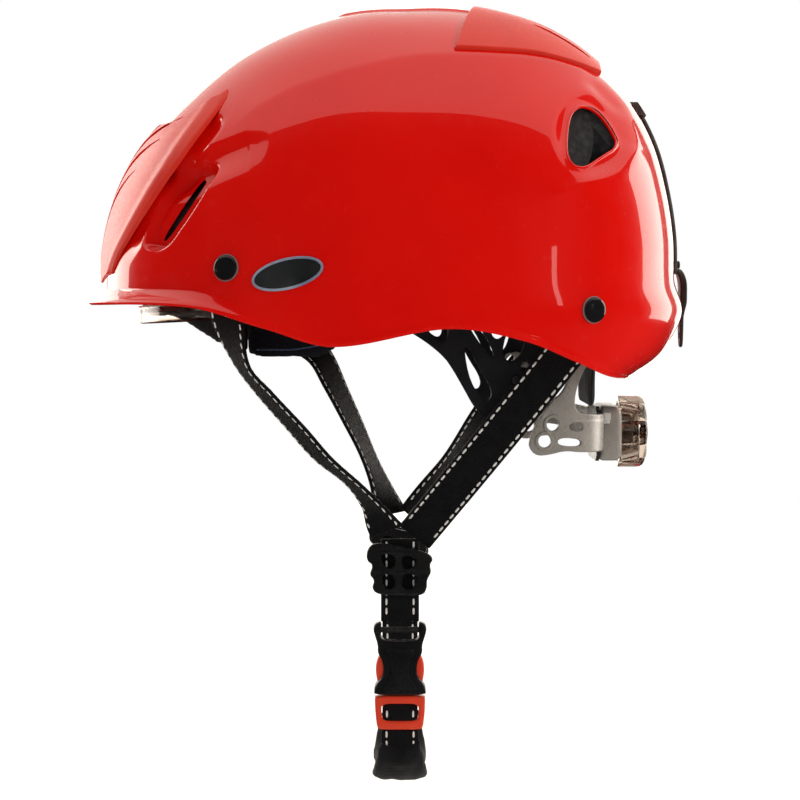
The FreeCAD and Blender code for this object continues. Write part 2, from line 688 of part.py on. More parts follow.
PRONG = [(4.2, 0.4), (9.7, 0.4), (9.7, 3.0), (8.9, 6.0), (9.9, 9.5), (9.9, 16.5), (8.0, 20.5), (6.2, 21.5),
         (5.4, 18.0), (5.8, 8.0)]

def make_prong(name, side):
    """One of the plug's two prongs, whose flank is pressed to open the buckle."""
    deep = dim("prong_deep")
    body = new_body(name, buckle_place(dim("web_side") - deep / 2))
    outline = sketch_on(body, "XY_Plane", "outline")
    draw_outline(outline, [(side * x, y) for x, y in PRONG])
    blank = pad(body, outline, "Dims.prong_deep")
    fillet(body, blank, 0.6, upright)
    return body

# ------------------------------------------------------------ cradle

CRADLE_TOP, CRADLE_FOOT = 14.0, -82.0

def cradle_wall(inner, thick, front_x, end_y):
    """Left half of the cradle's wall: a side run, a corner and a rear run, leaning in towards its foot."""
    wires = []
    for level, side in ((CRADLE_TOP, dim("cradle_top_side")), (CRADLE_FOOT, dim("cradle_low_side"))):
        back, bend = dim("cradle_back"), dim("cradle_bend")
        centre = Vector(back - bend, -side + bend, level)

        def rim(offset):
            r = bend + offset
            s = r * math.sqrt(0.5)
            return [Vector(front_x, -side - offset, level), Vector(centre.x, -side - offset, level),
                    Vector(centre.x + s, centre.y - s, level), Vector(back + offset, centre.y, level),
                    Vector(back + offset, -end_y, level)]

        a, b = rim(inner + thick), rim(inner)
        wires.append(Part.Wire([
            Part.makeLine(a[0], a[1]), Part.Arc(a[1], a[2], a[3]).toShape(), Part.makeLine(a[3], a[4]),
            Part.makeLine(a[4], b[4]), Part.makeLine(b[4], b[3]), Part.Arc(b[3], b[2], b[1]).toShape(),
            Part.makeLine(b[1], b[0]), Part.makeLine(b[0], a[0]),
        ]))
    return Part.makeLoft(wires, True, True)

SKELETON = [(9, -14), (19, -20), (27.5, -26.5), (34, -35.5), (39.5, -45), (47, -58.5), (50.5, -57.5),
            (57, -47), (66, -38), (74, -26), (76, -14), (72, -4), (60, -2), (40, 7), (28, 10), (19,
                7), (8, -4)]
SKELETON_WINDOWS = [
    [(19.6, -14.5), (21, -6), (28, -5), (29.3, -16.6), (27.5, -18.4), (24.8, -18)],
    [(36.4, -22.2), (38.4, -21.8), (41.5, -28.5), (50, -41.8), (46.4, -47.6), (39.4, -37.5)],
    [(36, -9), (42, -10), (50, -23.6), (49, -27.2)],
    [(46.5, -9), (56.5, -9.5), (55, -16), (49.8, -18.2)],
    [(58, -9), (65.5, -10), (63, -24), (57.4, -28.6), (53, -23.8)],
]
SKELETON_HOLES = [(60.2, -36.6), (64.4, -30.2)]
HOLE_RADIUS = 2.2

ARM = [(66.8, -63.5), (67.6, -68.6), (71, -71.6), (76.5, -71), (83, -69.2), (92, -70.8), (105.4, -71.5),
       (110, -71.5), (110, -54), (105.4, -53.6), (92, -52.2), (87.6, -51), (87.5, -45), (90,
           -36), (94, -29),
       (93.5, -25), (89.2, -24), (86, -35), (82, -43), (76, -46.5), (70, -55)]
ARM_WINDOWS = [[(85.6, -56.8), (93.0, -56.6), (93.4, -60.4), (85.4, -60.2)],
               [(81, -63), (91, -64.6), (91, -67.6), (80, -66.6)]]
ARM_HOLES = [(77.5, -57.0), (74.5, -64.6)]

def plate_from(wall, outline, windows, holes, radius):
    """A side-view outline cut from the cradle's wall, with its windows and holes."""
    plate = wall.common(side_prism(outline))
    cuts = [side_prism(window) for window in windows]
    cuts += [Part.makeCylinder(radius, 150, Vector(x, -150, z), Vector(0, 1, 0)) for x, z in holes]
    return plate.cut(Part.makeCompound(cuts))

def make_skeleton():
    """The black side arm of the cradle."""
    wall = cradle_wall(0, dim("cradle_wall"), -6, 4)
    plate = plate_from(wall, SKELETON, SKELETON_WINDOWS, SKELETON_HOLES, HOLE_RADIUS)
    bore = Part.makeCylinder(dim("pin_radius") + 0.08, 60, Vector(dim("pivot_x"), -100,
        dim("pivot_z")), Vector(0, 1, 0))
    return plate.cut(bore)

def make_arm():
    """The grey arm that joins the side arm to the ratchet housing."""
    wall = cradle_wall(-dim("cradle_wall") - 0.2, dim("cradle_wall"), 50, dim("housing_wide") / 2 + 0.3)
    plate = plate_from(wall, ARM, ARM_WINDOWS, ARM_HOLES, 3.1)
    lobe = cradle_wall(-dim("cradle_wall") - 0.2, dim("cradle_wall"), 40, 4)
    link = lobe.common(side_prism([(56, -40), (66, -30), (74, -26), (80, -42), (74, -52), (66, -58),
        (58, -48)]))
    cuts = [Part.makeCylinder(HOLE_RADIUS, 150, Vector(x, -150, z), Vector(0, 1, 0)) for x,
        z in SKELETON_HOLES]
    return plate.fuse(link.cut(Part.makeCompound(cuts)))

def make_pegs():
    """Snap pegs through the overlapping arms, one each side."""
    pegs = []
    x, z = SKELETON_HOLES[0]
    for side in (-1, 1):
        peg = Part.makeCylinder(HOLE_RADIUS - 0.1, 7.4, Vector(x, side * 61.0, z), Vector(0, side, 0))
        pegs.append(peg)
    return Part.makeCompound(pegs)

def make_browband():
    """The clear band that carries the brow pad and ends at the cradle's pivots."""
    return brow_wall(0, 1.8, [(-130, -12), (-130, -2.2), (-70, 3), (-10, 8), (34, 8), (34, -5),
        (-10, -8), (-70, -9)])

def brow_wall(inner, thick, outline):
    """A wall that runs round the brow: half an ellipse, then straight back on both sides."""
    front, half, start = 110.0, 82.0, -10.0
    faces = []
    for inset in (inner, inner + thick):
        oval = Part.Ellipse(Vector(start, 0, -60), front - inset, half - inset)
        arc = Part.ArcOfEllipse(oval, math.pi / 2, 3 * math.pi / 2).toShape()
        left = Vector(start, -half + inset, -60)
        right = Vector(start, half - inset, -60)
        end = 36.0
        edges = [
            arc,
            Part.makeLine(left, Vector(end, left.y, -60)),
            Part.makeLine(Vector(end, left.y, -60), Vector(end, right.y, -60)),
            Part.makeLine(Vector(end, right.y, -60), right),
        ]
        faces.append(Part.Face(Part.Wire(Part.__sortEdges__(edges))).extrude(Vector(0, 0, 100)))
    tail = Part.makeBox(60, 2 * (half - inner - thick), 100, Vector(-10, -(half - inner - thick), -60))
    wall = faces[0].cut(faces[1]).cut(tail).cut(Part.makeBox(10, 300, 100, Vector(35, -150, -60)))
    wall = wall.common(side_prism(outline))
    bore = Part.makeCylinder(dim("pin_radius") + 0.05, 300, Vector(dim("pivot_x"), -150,
        dim("pivot_z")), Vector(0, 1, 0))
    return wall.cut(bore)

BROW_PAD = [(-130, -8), (-130, 7), (-74, 10), (-62, 9), (-64, -20), (-76, -18), (-90, -15), (-100, -9)]
TEMPLE_PAD = [(-60, 9), (-14, 12), (-11, -18), (-16, -22), (-30, -26), (-52, -27), (-61, -26)]

def make_pins():
    """The two cradle pins, each with a flat head on the head side."""
    pins = []
    x, z = dim("pivot_x"), dim("pivot_z")
    for side in (-1, 1):
        axis = Vector(0, side, 0)
        shank = Part.makeCylinder(dim("pin_radius"), 16.6, Vector(x, side * 68.9, z), axis)
        head = Part.makeCylinder(4.6, 1.6, Vector(x, side * 67.4, z), axis)
        pins.append(shank.fuse(head).removeSplitter())
    return Part.makeCompound(pins)

def make_hanger():
    """The clip that hangs the browband and the pivot from the foam."""
    x, z = dim("pivot_x"), dim("pivot_z")
    block = Part.makeBox(15, 5.4, 15, Vector(x - 7.5, -88.0, z - 6))
    block = block.makeFillet(1.5, [e for e in block.Edges if e.BoundBox.YLength > 5])
    return block.cut(Part.makeCylinder(dim("pin_radius") + 0.05, 30, Vector(x, -100, z), Vector(0, 1, 0)))

# ------------------------------------------------------------ ratchet

HOUSING_FRONT = 101.0

def ratchet_place(x):
    """Local x is across the helmet, local y is up and local z points to the rear."""
    frame = Rotation(Vector(0, 1, 0), Vector(0, 0, 1), Vector(1, 0, 0), "ZXY")
    return Placement(Vector(x, 0, dim("knob_level")), frame)

def make_housing():
    """The ratchet housing: a rounded box, open towards the head."""
    body = new_body("ratchet_housing", ratchet_place(HOUSING_FRONT + dim("housing_wall")))
    half_w, half_h = dim("housing_wide") / 2, dim("housing_tall") / 2
    deep = dim("housing_deep") - dim("housing_wall")
    outline = sketch_on(body, "XY_Plane", "outline")
    draw_outline(outline, [(-half_w, -half_h + 3), (-half_w + 5, -half_h), (half_w - 5, -half_h),
        (half_w, -half_h + 3),
                           (half_w, half_h - 3), (half_w - 5, half_h), (-half_w + 5,
                               half_h), (-half_w, half_h - 3)])
    block = pad(body, outline, "Dims.housing_deep - Dims.housing_wall")
    rounded = fillet(body, block, 1.5, upright)
    fillet(body, rounded, 1.4, on_level(deep))
    wall = dim("housing_wall")
    hollow = sketch_on(body, "XY_Plane", "hollow")
    draw_box(hollow, -half_w + wall, -half_h + wall, half_w - wall, half_h - wall)
    cavity = body.newObject("PartDesign::Pocket", "ratchet_housing_cavity")
    cavity.Profile = hollow
    cavity.Type = 0
    cavity.Reversed = True
    cavity.setExpression("Length", "Dims.housing_deep - 2 * Dims.housing_wall")
    bore = sketch_on(body, "XY_Plane", "bore")
    draw_circle(bore, 0, 0, "axle_radius")
    bore.setExpression("Constraints[0]", "Dims.axle_radius + 0.15")
    pocket_through(body, bore)
    mouths = sketch_on(body, "XZ_Plane", "mouths")
    draw_box(mouths, -half_w - 5, 0.6, -half_w + 5, 6.2)
    draw_box(mouths, half_w - 5, 0.6, half_w + 5, 6.2)
    through = body.newObject("PartDesign::Pocket", "ratchet_housing_mouths")
    through.Profile = mouths
    through.Type = 0
    through.Midplane = True
    through.Length = 21.6
    doc.recompute()
    return body

def make_back_cover():
    """The plate that closes the housing on the head side."""
    body = new_body("ratchet_cover", ratchet_place(HOUSING_FRONT))
    outline = sketch_on(body, "XY_Plane", "outline")
    half_w, half_h = dim("housing_wide") / 2 - 0.4, dim("housing_tall") / 2 - 0.4
    draw_outline(outline, [(-half_w, -half_h + 3), (-half_w + 5, -half_h), (half_w - 5, -half_h),
        (half_w, -half_h + 3),
                           (half_w, half_h - 3), (half_w - 5, half_h), (-half_w + 5,
                               half_h), (-half_w, half_h - 3)])
    pad(body, outline, "Dims.housing_wall - 0.1")
    return body

KNOB_SCALLOPS = 8

def make_knob():
    """The scalloped knob, hollow towards the housing."""
    start = HOUSING_FRONT + dim("housing_deep") + 0.4
    body = new_body("ratchet_knob", ratchet_place(start))
    disc = sketch_on(body, "XY_Plane", "disc")
    draw_circle(disc, 0, 0, "knob_radius")
    deep = dim("knob_deep")
    round_disc = pad(body, disc, "Dims.knob_deep")
    fillet(body, round_disc, 2.2, on_level(deep))
    scallop = sketch_on(body, "XY_Plane", "scallop")
    scallop.addGeometry(Part.Circle(Vector(dim("knob_radius") + 1.6, 0, 0), Vector(0, 0, 1), 4.0), False)
    notch = pocket_through(body, scallop)
    ring = body.newObject("PartDesign::PolarPattern", "ratchet_knob_scallops")
    ring.Originals = [notch]
    ring.Axis = (scallop, ["N_Axis"])
    ring.Angle = 360
    ring.Occurrences = KNOB_SCALLOPS
    body.Tip = ring
    doc.recompute()
    recess = sketch_on(body, "XY_Plane", "recess")
    recess.addGeometry(Part.Circle(Vector(0, 0, 0), Vector(0, 0, 1), dim("knob_radius") - 5.2), False)
    recess.addGeometry(Part.Circle(Vector(0, 0, 0), Vector(0, 0, 1), 5.0), False)
    hollow = body.newObject("PartDesign::Pocket", "ratchet_knob_hollow")
    hollow.Profile = recess
    hollow.Type = 0
    hollow.Length = 9.5
    hollow.Reversed = True
    doc.recompute()
    bore = sketch_on(body, "XY_Plane", "bore")
    draw_circle(bore, 0, 0, "axle_radius")
    bore.setExpression("Constraints[0]", "Dims.axle_radius + 0.05")
    pocket_through(body, bore)
    return body

def make_axle():
    """The screw that holds the knob and turns the pinion."""
    start = HOUSING_FRONT + dim("housing_wall") + 0.4
    end = HOUSING_FRONT + dim("housing_deep") + 0.4 + dim("knob_deep")
    axis = Vector(1, 0, 0)
    middle = Vector(start, 0, dim("knob_level"))
    shank = Part.makeCylinder(dim("axle_radius"), end - start, middle, axis)
    head = Part.makeCylinder(4.4, 1.4, Vector(end + 0.05, 0, dim("knob_level")), axis)
    head = head.makeFillet(0.6, [e for e in head.Edges if abs(e.BoundBox.XMin - end - 1.45) < 0.01])
    neck = Part.makeCylinder(dim("axle_radius"), 0.2, Vector(end - 0.1, 0, dim("knob_level")), axis)
    return shank.fuse(neck).fuse(head).removeSplitter()

TOOTH_SHARE = 0.36
TOOTH_UP, TOOTH_DOWN = 0.8, 1.2

def tooth_pitch():
    return 2 * math.pi * dim("pinion_pitch") / dim("pinion_teeth")

def make_pinion():
    """The pinion on the axle, between the two racks."""
    pitch, teeth = dim("pinion_pitch"), int(dim("pinion_teeth"))
    half = math.pi / teeth * TOOTH_SHARE
    points = []
    for k in range(teeth):
        middle = 2 * math.pi * k / teeth
        for radius, spread in ((pitch - TOOTH_DOWN, half * 1.5), (pitch + TOOTH_UP, half * 0.6)):
            points.append((radius, middle - spread))
        for radius, spread in ((pitch + TOOTH_UP, half * 0.6), (pitch - TOOTH_DOWN, half * 1.5)):
            points.append((radius, middle + spread))
    start = HOUSING_FRONT + dim("housing_wall") + 1.4
    level = dim("knob_level")
    loop = [Vector(start, r * math.sin(a), level + r * math.cos(a)) for r, a in points]
    gear = Part.Face(Part.makePolygon(loop + [loop[0]])).extrude(Vector(3.6, 0, 0))
    bore = Part.makeCylinder(dim("axle_radius") + 0.02, 10, Vector(start - 1, 0, level), Vector(1, 0, 0))
    return gear.cut(bore)

RACK_BACK = 3.2

def make_rack(side):
    """A rack that the pinion draws in: the left one runs above the pinion, the right one below."""
    pitch = tooth_pitch()
    up = -side
    line = dim("pinion_pitch") * up
    base, tip = line + TOOTH_DOWN * up, line - TOOTH_UP * up
    back = base + RACK_BACK * up
    long = dim("rack_long")
    ends = (side * long, side * -6.0)
    low, high = min(ends), max(ends)
    points = [(low, back), (low, base)]
    first = math.ceil((low + pitch) / pitch - 0.5)
    k = first
    half = pitch / 2 * TOOTH_SHARE
    while (k + 0.5) * pitch + pitch / 2 < high:
        middle = (k + 0.5) * pitch
        points += [(middle - half * 1.5, base), (middle - half * 0.5, tip), (middle + half * 0.5, tip),
                   (middle + half * 1.5, base)]
        k += 1
    points += [(high, base), (high, back)]
    start = HOUSING_FRONT + dim("housing_wall") + 1.4
    level = dim("knob_level")
    loop = [Vector(start, y, level + z) for y, z in points]
    return Part.Face(Part.makePolygon(loop + [loop[0]])).extrude(Vector(3.0, 0, 0))

def make_pawl():
    """The leaf spring that clicks over the pinion, fixed in the housing."""
    start = HOUSING_FRONT + dim("housing_wall") + 5.4
    level = dim("knob_level")
    leaf = Part.makeBox(2.2, 0.6, 16, Vector(start, -12.0, level - 8))
    foot = Part.makeBox(2.2, 3.4, 3, Vector(start, -15.0, level - 8))
    return leaf.fuse(foot).removeSplitter()

def make_nape_pad():
    """The soft pad between the housing and the nape."""
    block = Part.makeBox(4.5, 62, 38, Vector(HOUSING_FRONT - 5.0, -31, -52))
    return block.makeFillet(2.0, block.Edges)

# ------------------------------------------------------------ lamp retainer

RETAINER_TOP = 88.0

def strip(inset_out, inset_in, wide, low, high):
    """A strip of the rear centre line, following the shell between two levels."""
    skin = dome(inset_out).cut(dome(inset_in))
    return skin.common(Part.makeBox(80, wide, high - low, Vector(80, -wide / 2, low)))

def make_retainer_band():
    """The elastic band that clips a lamp's strap to the back of the shell."""
    gap, thick, wide = dim("retainer_gap"), dim("retainer_thick"), dim("retainer_wide")
    band = strip(-gap - thick, -gap, wide, 12.0, RETAINER_TOP)
    eye = Part.makeBox(40, 5.0, 7.0, Vector(125, -2.5, 13.5))
    pivot = dome_point_at_level(0, RETAINER_TOP, -gap - thick)
    slope = pivot - dome_point_at_level(0, RETAINER_TOP - 2.0, -gap - thick)
    above = Part.makeBox(24, 30, 14, Vector(-12, -15, 0))
    above.Placement = FreeCAD.Placement(pivot, Rotation(Vector(0, 1, 0),
        math.degrees(math.atan2(slope.x, slope.z))))
    return band.cut(eye).cut(above)

def make_retainer_tab():
    """The pull tab under the band."""
    gap, wide = dim("retainer_gap"), dim("retainer_wide")
    x = dome_point_at_level(0, -3).x + gap + 0.2
    grip = Part.makeBox(4.0, wide, 13.2, Vector(x - 0.6, -wide / 2, -1.4))
    tail = Part.makeBox(2.2, wide - 3, 22, Vector(x, -wide / 2 + 1.5, -23.2))
    grip = grip.makeFillet(0.9, [e for e in grip.Edges if e.BoundBox.YLength > 5])
    return grip.fuse(tail).removeSplitter()

def make_anchor():
    """The small saddle that holds the top of the band."""
    gap, thick, wide = dim("retainer_gap"), dim("retainer_thick"), dim("retainer_wide")
    return strip(-gap - thick - 0.6, -0.1, wide + 5, 88.6, 95.0)

def make_catch():
    """The peg that the band's eye hooks over."""
    foot = dome_point_at_level(0, 17.0).x + 0.1
    stem = Part.makeCylinder(1.9, 4.4, Vector(foot, 0, 17.0), Vector(1, 0, 0))
    return stem.makeFillet(0.6, [e for e in stem.Edges if e.BoundBox.XMin > foot + 4.3])

# ------------------------------------------------------------ assembly

solid("outer_shell", make_shell())
solid("foam_liner", make_liner())
solid("rear_vent_cover", make_cover())
solid("front_vent_grille", make_grille())
badge = solid("badge_left", make_badge())
mirrored("badge_right", badge)
solid("crown_pad", make_crown_pad())

for rivet_name, (rivet_x, rivet_z) in (("front_rivet", FRONT_RIVET), ("rear_rivet", REAR_RIVET)):
    left = make_rivet(f"{rivet_name}_left", rivet_x, rivet_z)
    mirrored(f"{rivet_name}_right", left)
washers = [make_washer(x, z, side) for x, z in (FRONT_RIVET, REAR_RIVET) for side in (-1, 1)]
solid("rivet_washers", Part.makeCompound(washers))

shank = Part.makeCompound(rivet_holes(dim("rivet_shank") + 0.05))
for strap_name, (strap_rivet, strap_insets, strap_path, strap_side) in STRAPS.items():
    solid(strap_name, hung_strap(strap_rivet, strap_insets, strap_path, strap_side).cut(shank))
solid("upper_chin_strap", make_upper_chin_strap())
yoke = make_yoke()
mirrored("yoke_right", yoke)
make_socket()
make_plug()
make_prong("prong_front", -1)
make_prong("prong_rear", 1)
solid("chin_webbing", make_chin_webbing())
solid("chin_pad", make_chin_pad())

skeleton = solid("cradle_side_left", make_skeleton())
mirrored("cradle_side_right", skeleton)
arm = solid("nape_arm_left", make_arm())
mirrored("nape_arm_right", arm)
solid("cradle_pegs", make_pegs())
solid("browband", make_browband())
solid("brow_pad", brow_wall(2.0, 5.0, BROW_PAD))
temple = brow_wall(2.0, 5.0, TEMPLE_PAD)
for temple_name, piece in zip(("temple_pad_left", "temple_pad_right"),
                              sorted(temple.Solids, key=lambda s: s.CenterOfMass.y)):
    solid(temple_name, piece)
solid("cradle_pins", make_pins())
hanger = solid("cradle_hanger_left", make_hanger())
mirrored("cradle_hanger_right", hanger)

make_housing()
make_back_cover()
make_knob()
solid("knob_axle", make_axle())
solid("pinion", make_pinion())
solid("rack_left", make_rack(-1))
solid("rack_right", make_rack(1))
solid("click_spring", make_pawl())
solid("nape_pad", make_nape_pad())

solid("retainer_band", make_retainer_band())
solid("retainer_tab", make_retainer_tab())
solid("retainer_anchor", make_anchor())
solid("retainer_catch", make_catch())

doc.recompute()

for obj in doc.Objects:
    if "Invalid" in obj.State or "Error" in obj.State:
        raise RuntimeError(f"{obj.Name} failed: {obj.State}")
for obj in SUBPARTS:
    if obj.Shape.isNull() or not obj.Shape.isValid() or not obj.Shape.Solids:
        raise RuntimeError(f"{obj.Label} has no valid solid")

os.makedirs("parts", exist_ok=True)
for obj in SUBPARTS:
    obj.Shape.exportStep(f"parts/{obj.Label}.step")
    box = obj.Shape.BoundBox
    print(f"{obj.Label:22s} solids {len(obj.Shape.Solids)} volume {obj.Shape.Volume / 1000:9.2f} cm3 "
          f"x {box.XMin:7.1f} {box.XMax:7.1f} y {box.YMin:7.1f} {box.YMax:7.1f} "
           f"z {box.ZMin:7.1f} {box.ZMax:7.1f}")
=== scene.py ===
import math

import bmesh
import bpy
import numpy as np
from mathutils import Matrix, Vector


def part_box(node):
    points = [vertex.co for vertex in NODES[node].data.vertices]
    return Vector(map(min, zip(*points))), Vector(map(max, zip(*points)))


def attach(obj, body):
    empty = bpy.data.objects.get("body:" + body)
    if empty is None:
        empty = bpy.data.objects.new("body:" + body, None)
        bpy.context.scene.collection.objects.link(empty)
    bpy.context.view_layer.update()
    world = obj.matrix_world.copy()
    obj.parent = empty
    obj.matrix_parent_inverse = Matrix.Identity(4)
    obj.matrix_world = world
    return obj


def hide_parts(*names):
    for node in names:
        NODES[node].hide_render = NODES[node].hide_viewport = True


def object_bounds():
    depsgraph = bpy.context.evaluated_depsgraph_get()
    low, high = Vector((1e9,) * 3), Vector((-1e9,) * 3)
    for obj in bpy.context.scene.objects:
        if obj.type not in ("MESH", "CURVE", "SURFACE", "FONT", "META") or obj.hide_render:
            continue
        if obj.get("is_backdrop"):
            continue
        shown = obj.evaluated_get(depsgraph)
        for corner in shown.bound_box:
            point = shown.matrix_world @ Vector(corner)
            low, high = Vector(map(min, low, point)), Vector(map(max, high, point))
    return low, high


# Climbing helmet. Front is -X, rear is +X, the wearer's left is -Y, +Z is up.
# Lengths below are in millimetres and go to metres when a mesh is made.

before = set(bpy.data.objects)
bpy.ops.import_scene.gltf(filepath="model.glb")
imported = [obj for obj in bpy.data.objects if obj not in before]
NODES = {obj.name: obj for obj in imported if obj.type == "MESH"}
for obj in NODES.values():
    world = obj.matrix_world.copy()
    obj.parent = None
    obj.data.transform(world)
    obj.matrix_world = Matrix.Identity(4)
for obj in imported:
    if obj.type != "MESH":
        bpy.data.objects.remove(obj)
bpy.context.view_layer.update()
MM = 0.001


# ------------------------------------------------------------ shapes

FRONT = [(-24, 133), (-10, 139), (0, 140.5), (10, 141.5), (24, 141.8), (34, 140.4), (44, 138.2),
         (56, 137.9), (68, 137.8), (79, 138.4), (90, 140)]
REAR = [(-26, 99), (-18, 117), (-12, 129.4), (-7, 135), (-2, 138), (4, 134.6), (12, 136.6),
        (22, 140.2), (31, 144.5), (39, 147), (48, 147.4), (60, 147), (70, 144.4), (80, 141.8), (90, 140)]
SIDE = [(-24, 118), (-10, 113.6), (0, 112.5), (15, 113.5), (30, 117), (45, 122.5), (60, 130),
        (75, 137), (90, 140)]
RIM = [(-170, -0.6), (-84, -2.0), (-52, -11.5), (-22, -19.4), (29, -11.6), (62, -17.0),
       (86, -26.6), (104, -34.0), (125, -36.0), (170, -36.0)]
CENTRE = np.array([5.0, 0.0, 0.0])
SQUARENESS = 0.3
RAY_REACH = 260.0


def smooth(points):
    """A cubic curve through (position, value) pairs, as a function of an array."""
    at, value = (np.array(column, float) for column in zip(*points))
    slope = (value[2:] - value[:-2]) / (at[2:] - at[:-2])
    slope = np.concatenate([slope[:1], slope, slope[-1:]])

    def curve(x):
        x = np.clip(x, at[0], at[-1])
        i = np.clip(np.searchsorted(at, x) - 1, 0, len(at) - 2)
        step = at[i + 1] - at[i]
        u = (x - at[i]) / step
        bend = u * u * (3 - 2 * u)
        rise = slope[i] * (u ** 3 - 2 * u * u + u) + slope[i + 1] * (u ** 3 - u * u)
        return value[i] + (value[i + 1] - value[i]) * bend + rise * step

    return curve


front_radius, rear_radius, side_radius, rim_level = smooth(FRONT), smooth(REAR), smooth(SIDE), smooth(RIM)


def dome_radius(azimuth, elevation):
    """Radius of the shell's outer face, by azimuth (0 is the rear) and elevation in radians."""
    degrees = np.degrees(elevation)
    along = np.where(np.cos(azimuth) > 0, rear_radius(degrees), front_radius(degrees))
    across = side_radius(degrees)
    power = 2 + SQUARENESS * np.cos(elevation) ** 2
    return (np.abs(np.cos(azimuth) / along) ** power
            + np.abs(np.sin(azimuth) / across) ** power) ** (-1 / power)


def dome_point(azimuth, elevation, out=0.0):
    radius = dome_radius(azimuth, elevation) + out
    level = radius * np.cos(elevation)
    return np.stack([CENTRE[0] + level * np.cos(azimuth), level * np.sin(azimuth),
                     radius * np.sin(elevation)], -1)


def dome_gap(points):
    """How far points lie outside the shell's outer face."""
    ray = points - CENTRE
    radius = np.linalg.norm(ray, axis=-1)
    return radius - dome_radius(np.arctan2(ray[..., 1], ray[..., 0]), np.arcsin(ray[..., 2] / radius))


def cast(start, way, out=0.0):
    """Where rays that start inside the dome leave its face, moved outward by out."""
    start, way = np.broadcast_arrays(np.asarray(start, float), np.asarray(way, float))
    low, high = np.zeros(start.shape[:-1]), np.full(start.shape[:-1], RAY_REACH)
    for _ in range(44):
        middle = (low + high) / 2
        outside = dome_gap(start + way * middle[..., None]) > 0
        low, high = np.where(outside, low, middle), np.where(outside, middle, high)
    face = start + way * low[..., None]
    return face + dome_normal(face) * np.asarray(out)[..., None]


def dome_normal(points):
    """Outward normals of the dome's family of surfaces."""
    step = 0.5
    slope = np.stack([dome_gap(points + step * axis) - dome_gap(points - step * axis)
                      for axis in np.eye(3)], -1)
    return slope / np.linalg.norm(slope, axis=-1, keepdims=True)


def face_at(x, z, side=-1, out=0.0):
    """The point of the face with this x and z, on one side."""
    return cast(np.stack([x + 0.0 * z, 0.0 * x * z, z + 0.0 * x], -1), np.array([0.0, side, 0.0]), out)


def ease(value):
    """0 below 0 and 1 above 1, with a soft start and end."""
    value = np.clip(value, 0, 1)
    return value * value * (3 - 2 * value)


def line_distance(x, z, points):
    """Distance from (x, z) to a broken line, the share of the way along it, and the side of it."""
    best = np.full(x.shape, 1e9)
    share, side = np.zeros(x.shape), np.zeros(x.shape)
    lengths = [math.dist(a, b) for a, b in zip(points, points[1:])]
    run = 0.0
    for (a, b), length in zip(zip(points, points[1:]), lengths):
        dx, dz = (b[0] - a[0]) / length, (b[1] - a[1]) / length
        t = np.clip((x - a[0]) * dx + (z - a[1]) * dz, 0, length)
        px, pz = x - a[0] - t * dx, z - a[1] - t * dz
        distance = np.hypot(px, pz)
        near = distance < best
        best = np.where(near, distance, best)
        share = np.where(near, (run + t) / sum(lengths), share)
        side = np.where(near, np.sign(dx * pz - dz * px), side)
        run += length
    return best, share, side


def inside(x, z, points):
    """True where (x, z) lies in a closed outline."""
    found = np.zeros(x.shape, bool)
    for (ax, az), (bx, bz) in zip(points, points[1:] + points[:1]):
        if az == bz:
            continue
        crosses = ((az > z) != (bz > z)) & (x < (bx - ax) * (z - az) / (bz - az) + ax)
        found ^= crosses
    return found


def rounded(points, passes=3, share=0.25):
    """A closed outline with its corners cut again and again, which rounds them."""
    points = [tuple(map(float, p)) for p in points]
    for _ in range(passes):
        cut = []
        for a, b in zip(points, points[1:] + points[:1]):
            cut.append(tuple(p + (q - p) * share for p, q in zip(a, b)))
            cut.append(tuple(p + (q - p) * (1 - share) for p, q in zip(a, b)))
        points = cut
    return points


# ------------------------------------------------------------ mesh helpers

def make(name, points, faces, uv=None, smooth_faces=True):
    """A mesh object from points in millimetres."""
    mesh = bpy.data.meshes.new(name)
    mesh.from_pydata((np.asarray(points, float) * MM).tolist(), [], faces)
    if uv is not None:
        layer = mesh.uv_layers.new(name="UVMap")
        corners = np.zeros(len(mesh.loops), int)
        mesh.loops.foreach_get("vertex_index", corners)
        layer.data.foreach_set("uv", np.asarray(uv, float)[corners].ravel())
    mesh.polygons.foreach_set("use_smooth", [smooth_faces] * len(mesh.polygons))
    mesh.update()
    obj = bpy.data.objects.new(name, mesh)
    bpy.context.scene.collection.objects.link(obj)
    return obj


def grid_faces(rows, columns, closed=False, start=0):
    """Quads of a grid whose points are numbered row by row."""
    faces = []
    for r in range(rows - 1):
        for c in range(columns if closed else columns - 1):
            d = (c + 1) % columns
            faces.append((start + r * columns + c, start + r * columns + d,
                          start + (r + 1) * columns + d, start + (r + 1) * columns + c))
    return faces


def sealed_faces(rows, columns):
    """Faces of two grids of one size, the second reversed, joined all round their border."""
    total = rows * columns
    faces = grid_faces(rows, columns) + [tuple(reversed(f))
                                         for f in grid_faces(rows, columns, False, total)]
    border = [k for k in range(columns)] + [k * columns + columns - 1 for k in range(1, rows)]
    border += [(rows - 1) * columns + k for k in range(columns - 2, -1, -1)]
    border += [k * columns for k in range(rows - 2, 0, -1)]
    faces += [(a, a + total, b + total, b) for a, b in zip(border, border[1:] + border[:1])]
    return faces


def ring_faces(count, sides):
    """Faces of a closed loop of count rings."""
    return [(k * sides + c, k * sides + (c + 1) % sides, (k + 1) % count * sides + (c + 1) % sides,
             (k + 1) % count * sides + c) for k in range(count) for c in range(sides)]


def tube_faces(rows, sides):
    """Faces of a tube of rows rings, closed by a face at each end."""
    ends = [tuple(range(sides)), tuple(range(rows * sides - 1, (rows - 1) * sides - 1, -1))]
    return grid_faces(rows, sides, True) + ends


def outward(obj):
    """Turn every face outward."""
    bm = bmesh.new()
    bm.from_mesh(obj.data)
    bmesh.ops.recalc_face_normals(bm, faces=bm.faces)
    bm.to_mesh(obj.data)
    bm.free()
    return obj


